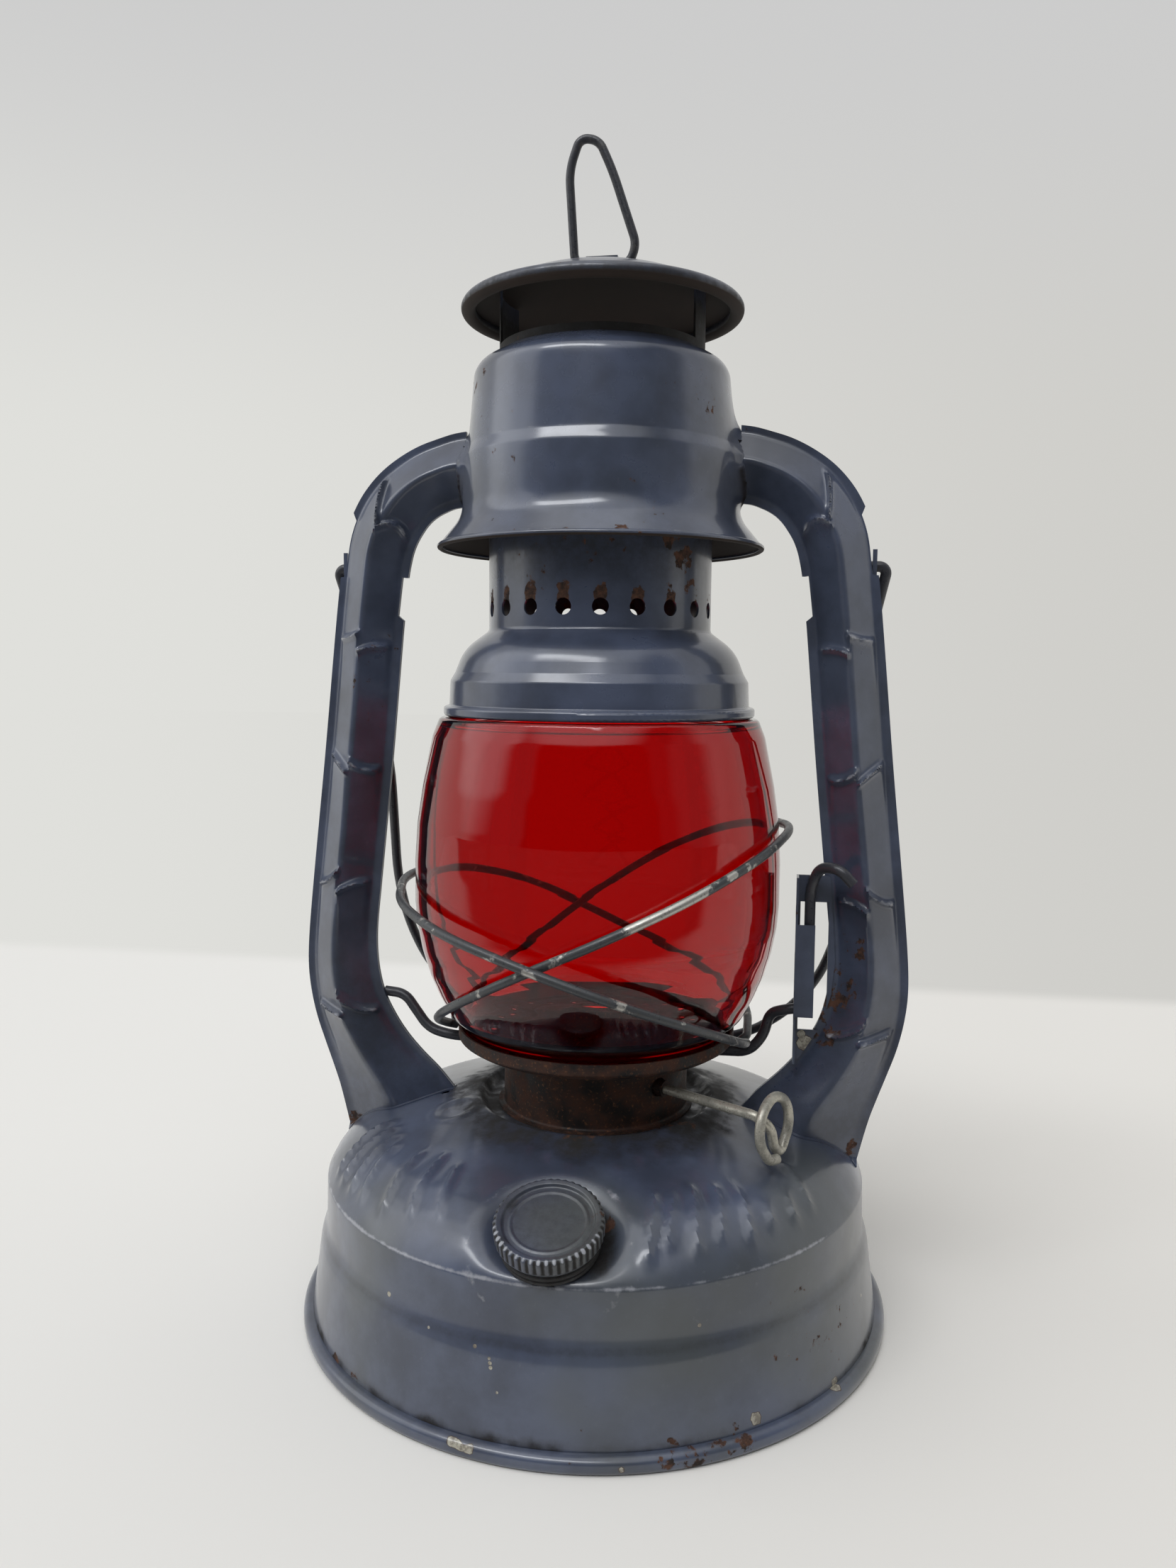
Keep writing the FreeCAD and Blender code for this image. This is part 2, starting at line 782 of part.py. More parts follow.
# Guard: two slanting hoops of wire that cross in front of and behind the globe
guard = cells(
    guard_radius=54.3,
    guard_apart=2.9,
    left_tip_out=61.0,
    left_tip_height=123.5,
    right_tip_out=53.0,
    right_tip_height=141.0,
    guard_end_radius=44.0,
    guard_end_height=79.2,
)


def hoop_points(tip, end, strand_heights, radius):
    """One hoop: an end by the plate, round the front to the tip, and round the back to the end."""
    points = []
    for angle, height, closer in strand_heights:
        away = math.radians(angle)
        reach = value(radius) / math.cos(math.radians(14)) - closer
        points.append(point(reach * math.cos(away), reach * math.sin(away), height))
    middle = len(points) // 2
    side = math.copysign(1, end.x)
    near, far = Vector(0, -3.2, 0), Vector(0, 3.2, 0)
    grip = Vector(-side * 2.0, 0, -1.0)
    return (
        [end + near * 0.35 + grip, end + near]
        + points[:middle]
        + [tip + Vector(side * 4, -5.5, -0.5), tip + Vector(side * 4, 5.5, 0)]
        + points[middle:]
        + [end + far, end + far * 0.35 + grip]
    )


outer_guard = guard.guard_radius + guard.guard_apart
left_high = hoop_points(
    point(0 - guard.left_tip_out, 0, guard.left_tip_height),
    point(guard.guard_end_radius, 0, guard.guard_end_height),
    [
        (-24, 84.0, 11.0), (-50, 93.4, 3.0), (-75, 103.2, 0), (-100, 111.8, 0), (-125, 117.4, 0),
        (-150, 121.0, 0.5), (150, 122.2, 0.5), (125, 115.8, 0), (100, 103.6, 0), (75, 92.6, 0.5),
        (50, 86.6, 4.0), (24, 82.4, 11.0),
    ],
    outer_guard,
)
right_high = hoop_points(
    point(guard.right_tip_out + 5.5, 0, guard.right_tip_height),
    point(0 - guard.guard_end_radius, 0, guard.guard_end_height + 0.8),
    [
        (-156, 86.0, 9.0), (-130, 95.2, 2.5), (-105, 107.4, 0), (-80, 118.6, 0), (-55, 128.8, 0),
        (-30, 137.2, 0), (30, 139.8, 0), (55, 134.4, 0), (80, 123.2, 0), (105, 106.8, 0),
        (130, 91.2, 2.5), (156, 84.2, 9.0),
    ],
    guard.guard_radius,
)
keep(
    bent_wire("guard_hoop_left", left_high, common.guard_wire),
    bent_wire("guard_hoop_right", right_high, common.guard_wire),
)

tube = cells(
    tube_wall=0.5,
    tube_depth=9.0,
    tube_ridge_bend=2.5,
    outer_flange=2.2,
    inner_flange=2.4,
    halves_apart=0.3,
    slot_low=84.2,
    slot_high=104.4,
    slot_room=0.7,
)
flange_face = 0.5 * tube.halves_apart + tube.tube_wall + common.face_gap

# Lift wire: a ring under the plate, one end in the left tube, the other bent up as the lever
guide = cells(
    guide_wall=0.6,
    guide_side=57.0,
    guide_low=72.8,
    guide_high=128.0,
    window_low=83.4,
    window_high=120.4,
    window_edge=66.2,
    lever_out=60.9,
    hook_height=131.4,
    hook_out=72.0,
    hook_depth=11.6,
    sheath_low=88.4,
    sheath_high=114.7,
    sheath_width=5.4,
)
lever_depth = flange_face + guide.guide_wall + common.wire_room + 0.5 * common.frame_wire
lever_y = 0 - lever_depth
left_aside = 0.5 * tube.halves_apart + 0.5 * common.frame_wire + common.wire_room
wire_points = [
    point(-65.2, left_aside, 87.2),
    point(-59.0, left_aside, 86.6),
    point(-51.0, 0, 77.0),
    point(-44.0, 0, cross_height),
    point(0 - lift.detour_start, 0, cross_height),
    point(-0.6 * lift.detour_start, lift.detour, cross_height),
    point(0.6 * lift.detour_start, lift.detour, cross_height),
    point(lift.detour_start, 0, cross_height),
]
wire_points += [
    point(44.6, 0, cross_height + 0.4),
    point(48.8, 0, 80.6),
    point(50.4, 0, 87.4),
    point(55.0, lever_y, 89.6),
    point(guide.lever_out, lever_y, 90.6),
    point(guide.lever_out, lever_y, guide.guide_high - 3),
    point(guide.lever_out + 2.4, lever_y - 3.6, guide.hook_height),
    point(guide.hook_out - 3.6, 0 - guide.hook_depth, guide.hook_height + 0.2),
    point(guide.hook_out, 0 - guide.hook_depth, guide.hook_height - 3.8),
]
keep(bent_wire("lift_wire", wire_points, common.frame_wire))

# Hood: the outer air chamber, drawn in one piece with a flared skirt and a rolled lower edge
hood = cells(
    hood_rise=47.4,
    skirt_radius=45.1,
    skirt_bead=0.8,
    skirt_length=8.2,
    hood_radius=38.5,
    hood_step=25.2,
    hood_upper_radius=37.2,
    hood_top_radius=35.4,
    hood_shoulder=50.6,
    hood_length=53.2,
    flue_radius=28.5,
    flue_room=0.7,
    window_width=11.0,
    window_foot=16.2,
    window_head=29.2,
)
skirt_foot = globe_top + hood.hood_rise
hood_top = skirt_foot + hood.hood_length
hood_path = [
    (hood.skirt_radius, skirt_foot),
    (hood.hood_radius + 0.4, skirt_foot + hood.skirt_length, 9),
    (hood.hood_radius, skirt_foot + hood.hood_step - 1.2, 2),
    (hood.hood_upper_radius, skirt_foot + hood.hood_step + 2.0, 2),
    (hood.hood_top_radius, skirt_foot + hood.hood_shoulder, 2.6),
    (hood.flue_radius + hood.flue_room, hood_top),
]
hood_sheet = revolved("hood_sheet", walled(hood_path, wall))
hood_bead = primitive(
    "Torus", "hood_bead", (0, 0, skirt_foot), Radius1=hood.skirt_radius, Radius2=hood.skirt_bead,
)
hood_windows = [
    primitive(
        "Box", f"hood_window_{side}", (place, 0 - 0.5 * hood.window_width, skirt_foot + hood.window_foot),
        Length=16, Width=hood.window_width, Height=hood.window_head - hood.window_foot,
    )
    for side, place in (("right", hood.hood_radius - 8), ("left", 0 - hood.hood_radius - 8))
]
keep(cut("hood", joined("hood_with_bead", hood_sheet, hood_bead), *hood_windows))

# Side tubes: each is two pressed halves that meet at flanges in the plane of both tubes
elbow_stations = [
    ((34.0, 33.8), (34.0, 12.4)),
    ((42.0, 32.9), (41.5, 11.9)),
    ((47.5, 31.4), (45.3, 10.6)),
    ((53.0, 29.5), (48.2, 9.0)),
    ((58.4, 26.7), (50.4, 7.0)),
    ((63.4, 23.2), (52.3, 4.4)),
    ((67.3, 19.4), (53.8, 1.8)),
    ((70.6, 15.0), (54.9, -1.0)),
    ((73.3, 9.8), (55.7, -4.2)),
    ((75.2, 4.2), (56.3, -7.4)),
    ((76.3, -2.4), (57.0, -12.8)),
    ((78.3, -18.8), (58.2, -24.3)),
    ((82.4, -58.8), (61.6, -60.8)),
]
leg_stations = [
    ((86.8, 120.0), (65.7, 119.0)),
    ((88.4, 103.0), (66.9, 106.0)),
    ((88.6, 94.0), (66.6, 96.5)),
    ((87.7, 86.0), (64.8, 88.0)),
    ((86.0, 78.6), (61.6, 81.2)),
    ((83.6, 71.4), (57.6, 75.2)),
    ((81.2, 64.6), (53.0, 70.0)),
    ((78.9, 57.6), (47.4, 64.6)),
    ((76.0, 46.0), (41.0, 57.0)),
    ((74.6, 40.0), (38.0, 50.0)),
]


def half_section(outer, inner, front):
    """Closed wire of a pressed half at one station: a flange, two facets to a ridge, a flange."""
    first, last = Vector(outer[0], 0, outer[1]), Vector(inner[0], 0, inner[1])
    across = (last - first).normalize()
    width = (last - first).Length
    low = 0.5 * value(tube.halves_apart)
    left, right = value(tube.outer_flange), width - value(tube.inner_flange)
    ridge = (0.5 * (left + right), value(tube.tube_depth), value(tube.tube_ridge_bend))
    lower = [(0, low), (left, low, 0.6), ridge, (right, low, 0.6), (width, low)]
    lower = [(c[0], c[1] - (value(tube.tube_wall) if n == 2 else 0)) + c[2:] for n, c in enumerate(lower)]
    outline = walled(lower, value(tube.tube_wall))
    depth = Vector(0, -1 if front else 1, 0)
    lift_up = lambda along, up: first + across * along + depth * up
    return Part.Wire([flat_curve(edge, lift_up).toShape() for edge in trace(outline)])


def raised(station):
    """An elbow station, whose heights are above the skirt's foot, as a station above the table."""
    return tuple((across, up + skirt_foot.value) for across, up in station)


tube_stations = [raised(station) for station in elbow_stations] + leg_stations
front_sections = [half_section(outer, inner, True) for outer, inner in tube_stations]
tube_loft = shaped("tube_loft", Part.makeLoft(front_sections, True, True))
dome_envelope = revolved("dome_envelope", filled(shell_path, common.seat_gap))
hood_envelope = revolved("hood_envelope", filled(hood_path, common.seat_gap))
right_tube_front = cut("right_tube_front", tube_loft, dome_envelope, hood_envelope)
right_tube_back = mirrored("right_tube_back", right_tube_front, Vector(0, 1, 0))
left_slot = primitive(
    "Box", "left_slot", (-68.2, 0, tube.slot_low),
    Length=10, Width=left_aside + 0.5 * common.frame_wire + tube.slot_room,
    Height=tube.slot_high - tube.slot_low,
)
left_back_whole = mirrored("left_back_whole", right_tube_back, Vector(1, 0, 0))
keep(
    right_tube_front, right_tube_back,
    mirrored("left_tube_front", right_tube_front, Vector(1, 0, 0)),
    cut("left_tube_back", left_back_whole, left_slot),
)

# Lift guide: a windowed strip on the tube's flange, with a slotted side and a sheath for the lever
def upright(label, corners, depth, thickness):
    """A flat plate parallel to the XZ plane from (across, up) corners; depth is its back face."""
    body = doc.addObject("PartDesign::Body", label)
    sketch = outline_sketch(body, f"{label}_outline", corners)
    pad = body.newObject("PartDesign::Pad", f"{label}_pad")
    pad.Profile = sketch
    pad.setExpression("Length", as_size(thickness).text)
    pad.Reversed = False
    body.setExpression("Placement.Base.y", as_size(0 - depth).text)
    return body


guide_web = upright("guide_web", [
    (guide.guide_side, guide.guide_low + 2),
    (guide.guide_side + 1.8, guide.guide_low + 2),
    (64.4, 84.0, 4),
    (67.4, 93.5, 6),
    (68.3, 104.0, 8),
    (67.2, 118.0),
    (66.4, guide.guide_high, 1),
    (guide.guide_side, guide.guide_high, 0.5),
], flange_face, guide.guide_wall)
guide_window = primitive(
    "Box", "guide_window", (guide.guide_side + 1.3, 0 - flange_face - 3, guide.window_low),
    Length=guide.window_edge - guide.guide_side - 1.3, Width=6,
    Height=guide.window_high - guide.window_low,
)
side_depth = lever_depth + 0.5 * common.frame_wire + 2 * common.seat_gap + guide.guide_wall
guide_side = primitive(
    "Box", "guide_side", (guide.guide_side, 0 - flange_face - side_depth, guide.guide_low + 2),
    Length=guide.guide_wall, Width=side_depth, Height=guide.guide_high - guide.guide_low - 2,
)
guide_sheath = primitive(
    "Box", "guide_sheath", (guide.guide_side, 0 - flange_face - side_depth, guide.sheath_low),
    Length=guide.sheath_width, Width=guide.guide_wall, Height=guide.sheath_high - guide.sheath_low,
)
guide_slot = primitive(
    "Box", "guide_slot",
    (guide.guide_side - 2, lever_y - 0.5 * slot_width, 89.0 - 0.5 * slot_width),
    Length=4, Width=slot_width, Height=lift.travel + slot_width + 1.2,
)
keep(cut(
    "lift_guide", joined("guide_solid", guide_web, guide_side, guide_sheath), guide_window, guide_slot,
))

# Bail: a long wire that hangs in an ear behind each tube's outer flange
bail = cells(
    pivot_drop=4.8,
    pivot_back=4.2,
    ear_out=75.9,
    ear_wall=0.6,
    ear_reach=8.4,
    ear_half_height=4.4,
    ear_tab=1.2,
    pin_end=74.2,
    pin_out=79.7,
    bail_lean=18.0,
    bail_drop=161.5,
)
ear_back = flange_face
pivot_height = skirt_foot - bail.pivot_drop


def bail_ear(label):
    """An angle bracket: a tab on the flange and a plate with the bail's hole."""
    low = pivot_height - bail.ear_half_height
    plate = primitive(
        "Box", f"{label}_plate", (bail.ear_out, ear_back, low),
        Length=bail.ear_wall, Width=bail.ear_reach - ear_back, Height=2 * bail.ear_half_height,
    )
    tab = primitive(
        "Box", f"{label}_tab", (bail.ear_out + bail.ear_wall - bail.ear_tab, ear_back, low),
        Length=bail.ear_tab, Width=bail.ear_wall, Height=2 * bail.ear_half_height,
    )
    hole = primitive(
        "Cylinder", f"{label}_hole", (bail.ear_out - 2, bail.pivot_back, pivot_height),
        Rotation(Vector(0, 0, 1), Vector(1, 0, 0)),
        Radius=0.5 * common.frame_wire + common.pin_clearance, Height=5,
    )
    return cut(label, joined(f"{label}_solid", plate, tab), hole)


right_ear = bail_ear("bail_ear_right")
keep(right_ear, mirrored("bail_ear_left", right_ear, Vector(1, 0, 0)))
bail_side = [
    (bail.pin_end, 0.0),
    (bail.pin_out, 0.0),
    (bail.pin_out - 3.0, 15.0),
    (bail.pin_out - 6.3, 36.0),
    (bail.pin_out - 9.3, 62.0),
    (bail.pin_out - 8.4, 82.0),
    (bail.pin_out - 7.3, 102.0),
    (bail.pin_out - 9.2, 119.0),
    (bail.pin_out - 14.2, 134.0),
    (bail.pin_out - 23.4, 147.0),
    (bail.pin_out - 36.8, 157.4),
    (bail.pin_out - 56.0, bail.bail_drop),
]


def in_bail_plane(across, down):
    """A place in the plane where the bail hangs, leaning back from its pivots."""
    lean = math.radians(bail.bail_lean.value)
    return point(
        across,
        bail.pivot_back + as_size(down) * math.sin(lean),
        pivot_height - as_size(down) * math.cos(lean),
    )


bail_points = [in_bail_plane(across, down) for across, down in bail_side]
bail_points += [in_bail_plane(0 - across, down) for across, down in bail_side[::-1]]
keep(bent_wire("bail", bail_points, common.frame_wire))

# Chimney: the crown on the globe with its drilled neck, and the exhaust tube that slides in the hood
chimney = cells(
    crown_seat=0.4,
    crown_inset=1.9,
    crown_bead=2.6,
    crown_side_inset=1.6,
    crown_step=9.8,
    crown_step_inset=1.9,
    neck_room=2.9,
    neck_foot_rise=23.8,
    neck_rise=54.2,
    neck_holes=20,
    neck_hole=4.4,
    neck_hole_rise=5.8,
    flue_lap=3.4,
    flue_window=138.0,
    flue_window_rise=1.3,
    spring_seat_room=5.1,
    spring_room=2.7,
    spring_wire=1.4,
    spring_turns=7,
)
crown_foot = globe_top + chimney.crown_seat
crown_bead_radius = glass.globe_top_radius - chimney.crown_inset
crown_step = crown_foot + chimney.crown_step
crown_step_radius = crown_bead_radius - chimney.crown_step_inset
neck_radius = hood.flue_radius + chimney.neck_room
neck_foot = crown_foot + chimney.neck_foot_rise
neck_top = crown_foot + chimney.neck_rise
crown_blank = revolved("crown_blank", walled([
    (crown_bead_radius - 3.2, crown_foot),
    (crown_bead_radius, crown_foot, 0.9),
    (crown_bead_radius, crown_foot + chimney.crown_bead, 0.9),
    (crown_bead_radius - chimney.crown_side_inset, crown_foot + chimney.crown_bead + 0.4, 0.5),
    (crown_step_radius, crown_step, 1.3),
    (crown_step_radius - 1.4, crown_step + 2.4, 0.9),
    (crown_step_radius - 3.9, crown_step + 8.8, 13),
    (neck_radius, neck_foot, 1.5),
    (neck_radius, neck_top, 0.9),
    (hood.flue_radius + common.seat_gap, neck_top),
], wall))
neck_holes = ring_of(
    "neck_holes", "Cylinder", int(chimney.neck_holes.value), neck_radius - 4,
    neck_foot + chimney.neck_hole_rise, 9, outward, Radius=0.5 * chimney.neck_hole, Height=8,
)
keep(cut("globe_crown", crown_blank, neck_holes))
top = cells(
    lid_rim_radius=37.1,
    lid_rim_rise=11.4,
    lid_bead=2.0,
    lid_height=11.1,
    lid_bend=68.5,
    lid_corner=18.9,
    strap_half_length=4.4,
    strap_half_width=2.7,
    strap_height=3.4,
    strap_foot=8.5,
    ring_rise=1.7,
    ring_foot=7.9,
    ring_height=34.6,
)
rim_height = hood_top + top.lid_rim_rise
cap_crest = rim_height + top.lid_height


def under_cap(radius):
    """Height of the cap's inner face at a radius on its curved part."""
    slope = math.atan2(value(top.lid_height) - 1.1, value(top.lid_rim_radius - top.lid_corner))
    flat = value(top.lid_corner) - value(top.lid_bend) * math.tan(0.5 * slope)
    inner = value(top.lid_bend - wall)
    fall = inner - math.sqrt(inner**2 - (value(radius) - flat) ** 2)
    return cap_crest - wall - fall


flue_blank = revolved("flue_blank", walled([
    (hood.flue_radius, neck_top - chimney.flue_lap),
    (hood.flue_radius, under_cap(hood.flue_radius) - common.seat_gap),
], wall))
flue_windows = []
for side, middle in (("front", -90), ("back", 90)):
    window = primitive(
        "Cylinder", f"flue_window_{side}", (0, 0, hood_top + chimney.flue_window_rise),
        about_z(middle - 0.5 * chimney.flue_window.value),
        Radius=hood.flue_radius + 4, Height=40, Angle=chimney.flue_window,
    )
    flue_windows.append(window)
keep(cut("chimney_tube", flue_blank, *flue_windows))
seat_low = neck_top + common.face_gap
spring_seat_radius = hood.flue_radius + chimney.spring_seat_room
keep(revolved("spring_seat", [
    (hood.flue_radius + common.seat_gap, seat_low),
    (spring_seat_radius, seat_low),
    (spring_seat_radius, seat_low + wall),
    (hood.flue_radius + common.seat_gap, seat_low + wall),
]))


def coil(label, radius, wire, low, high, turns):
    """An open spring of quarter-turn arcs; prints its least gap between neighbouring turns."""
    radius, wire, low, high, turns = (value(size) for size in (radius, wire, low, high, turns))
    steps = int(round(4 * turns))

    def on_helix(step):
        swing = 0.5 * math.pi * step
        return Vector(
            radius * math.cos(swing), radius * math.sin(swing), low + (high - low) * step / steps,
        )

    edges = [
        Part.Arc(on_helix(step), on_helix(step + 0.5), on_helix(step + 1)).toShape()
        for step in range(steps)
    ]
    path = Part.Wire(edges)
    circle = Part.Circle(on_helix(0), edges[0].tangentAt(edges[0].FirstParameter), 0.5 * wire)
    solid = path.makePipeShell([Part.Wire([circle.toShape()])], True, False)
    print(f"{label}: least gap between turns {(high - low) / turns - wire:.2f} mm")
    return shaped(label, solid)


spring_radius = hood.flue_radius + chimney.spring_room
hood_slope = value(hood.hood_length - hood.hood_shoulder) / (
    value(hood.hood_top_radius - hood.flue_radius - hood.flue_room)
)
under_hood = skirt_foot + hood.hood_shoulder + (hood.hood_top_radius - spring_radius) * hood_slope - wall
spring_end = common.seat_gap + 0.5 * chimney.spring_wire
keep(coil(
    "chimney_spring", spring_radius, chimney.spring_wire, seat_low + wall + spring_end,
    under_hood - spring_end - 0.1, chimney.spring_turns,
))

# Chimney cap: a shallow dome with a rolled rim, the strap on it and the lifting ring in the strap
dome_path = [
    (top.lid_rim_radius, rim_height + 1.1),
    (top.lid_corner, cap_crest, top.lid_bend),
    (0, cap_crest),
]
cap_dome = revolved("cap_dome", walled(dome_path, wall))
cap_bead = primitive(
    "Torus", "cap_bead", (0, 0, rim_height), Radius1=top.lid_rim_radius, Radius2=top.lid_bead,
)
keep(joined("chimney_cap", cap_dome, cap_bead))
ring_axis = cap_crest + top.ring_rise
strap_low = cap_crest + common.face_gap
strap_arch = primitive(
    "Box", "strap_arch", (0 - top.strap_half_length, 0 - top.strap_half_width, strap_low),
    Length=2 * top.strap_half_length, Width=2 * top.strap_half_width, Height=top.strap_height,
)
strap_feet = primitive(
    "Box", "strap_feet", (0 - top.strap_half_length, 0 - top.strap_foot, strap_low),
    Length=2 * top.strap_half_length, Width=2 * top.strap_foot, Height=wall,
)
strap_bore = primitive(
    "Cylinder", "strap_bore", (0 - top.strap_half_length - 1, 0, ring_axis),
    Rotation(Vector(0, 0, 1), Vector(1, 0, 0)),
    Radius=0.5 * common.ring_wire + common.pin_clearance, Height=2 * top.strap_half_length + 2,
)
keep(cut("ring_strap", joined("strap_solid", strap_arch, strap_feet), strap_bore))
ring_points = [
    (-0.5, 0),
    (0 - top.ring_foot, 0),
    (-9.7, 0.74 * top.ring_height),
    (-6.7, 0.985 * top.ring_height),
    (-1.4, 0.955 * top.ring_height),
    (2.4, 0.72 * top.ring_height),
    (9.2, 0.15 * top.ring_height),
    (7.2, 0),
    (0.5, 0),
]
keep(bent_wire(
    "top_ring", [point(across, 0, ring_axis + up) for across, up in ring_points], common.ring_wire,
))

doc.recompute()
for item in doc.Objects:
    if "Invalid" in item.State or "Error" in item.State:
        raise ValueError(f"{item.Label} could not be worked out: {item.State}")
for label, solid in pieces.items():
    if solid.Shape.isNull() or not solid.Shape.isValid() or not solid.Shape.Solids:
        raise ValueError(f"{label} has no valid solid")
os.makedirs("parts", exist_ok=True)
for label, solid in pieces.items():
    solid.Shape.exportStep(os.path.join("parts", f"{label}.step"))
    print(f"{label}: {len(solid.Shape.Solids)} solid(s), {solid.Shape.Volume:.0f} mm3")
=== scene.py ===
"""The looks of a small tubular hurricane lantern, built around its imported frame, in metres."""
import bpy
import bmesh
import math
from mathutils import Matrix, Vector, noise


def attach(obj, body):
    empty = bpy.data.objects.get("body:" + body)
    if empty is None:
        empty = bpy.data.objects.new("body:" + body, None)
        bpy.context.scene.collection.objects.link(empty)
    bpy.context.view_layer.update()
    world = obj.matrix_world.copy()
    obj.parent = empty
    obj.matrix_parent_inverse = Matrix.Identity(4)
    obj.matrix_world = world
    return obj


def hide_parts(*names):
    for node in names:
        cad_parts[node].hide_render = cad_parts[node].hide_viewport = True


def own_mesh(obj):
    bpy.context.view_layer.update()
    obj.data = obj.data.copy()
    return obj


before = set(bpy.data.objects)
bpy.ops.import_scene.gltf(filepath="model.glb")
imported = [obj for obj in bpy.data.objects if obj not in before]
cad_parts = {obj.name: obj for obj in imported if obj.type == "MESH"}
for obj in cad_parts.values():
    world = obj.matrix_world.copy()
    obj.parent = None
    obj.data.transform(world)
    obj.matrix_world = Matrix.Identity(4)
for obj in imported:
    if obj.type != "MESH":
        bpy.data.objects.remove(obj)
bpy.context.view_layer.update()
mm = 0.001


# Fount: a drawn steel tank under grey-blue stove enamel, with a step in its side, a domed top that
# the press gave a fan of ribs, a dished seat for the filler and a well. Its foot is rolled round the
# bottom disc. The enamel is satin, soiled in the well and chipped on the bead; painted shade darkens
# the step and the filler's seat, and a painted highlight runs along the front of the shoulder.
def colour_of(hexa):
    """The linear colour of an sRGB hex value such as 4A4C55."""
    parts = [int(hexa[place:place + 2], 16) / 255 for place in (0, 2, 4)]
    return [part / 12.92 if part <= 0.04045 else ((part + 0.055) / 1.055) ** 2.4 for part in parts] + [1]


def add_node(material, kind, inputs, **settings):
    """Adds a node, or takes one that is there, and gives it its settings and inputs. An input is a
    value, an output, or a node whose first output it takes; a Mix node's colours are 6 and 7."""
    tree = material.node_tree
    node = tree.nodes.new(f"ShaderNode{kind}") if isinstance(kind, str) else kind
    for name, setting in settings.items():
        setattr(node, name, setting)
    for place, source in inputs.items():
        if isinstance(source, bpy.types.Node):
            source = next(output for output in source.outputs if output.enabled)
        if isinstance(source, bpy.types.NodeSocket):
            tree.links.new(source, node.inputs[place])
        else:
            node.inputs[place].default_value = source
    return node


def new_material(name):
    """A material with its Principled shader, and the object coordinates that its patterns read."""
    material = bpy.data.materials.new(name)
    material.use_nodes = True
    shader = material.node_tree.nodes["Principled BSDF"]
    place = add_node(material, "TexCoord", {}).outputs["Object"]
    return material, shader, place


def blots(material, place, centres, softness=0.5):
    """A mark that is 1 inside each (x, y, z, radius) blot in millimetres and fades beyond its edge."""
    share = None
    for across, away, up, reach in centres:
        distance = add_node(material, "VectorMath", {
            0: place, 1: (across * mm, away * mm, up * mm),
        }, operation="DISTANCE")
        near = add_node(material, "MapRange", {
            "Value": distance, "From Min": reach * (1 - softness) * mm,
            "From Max": reach * (1 + softness) * mm, "To Min": 1, "To Max": 0,
        }, interpolation_type="SMOOTHSTEP")
        share = add_node(material, "Math", {0: share, 1: near}, operation="MAXIMUM") if share else near
    return share


def painted(material, under, over, source, low, high, most=1.0):
    """The colour under, painted over in the share that grows as the source goes from low to high."""
    share = add_node(material, "MapRange", {
        "Value": source, "From Min": low, "From Max": high, "To Max": most,
    }, interpolation_type="SMOOTHSTEP")
    return add_node(material, "Mix", {0: share, 6: under, 7: over}, data_type="RGBA")


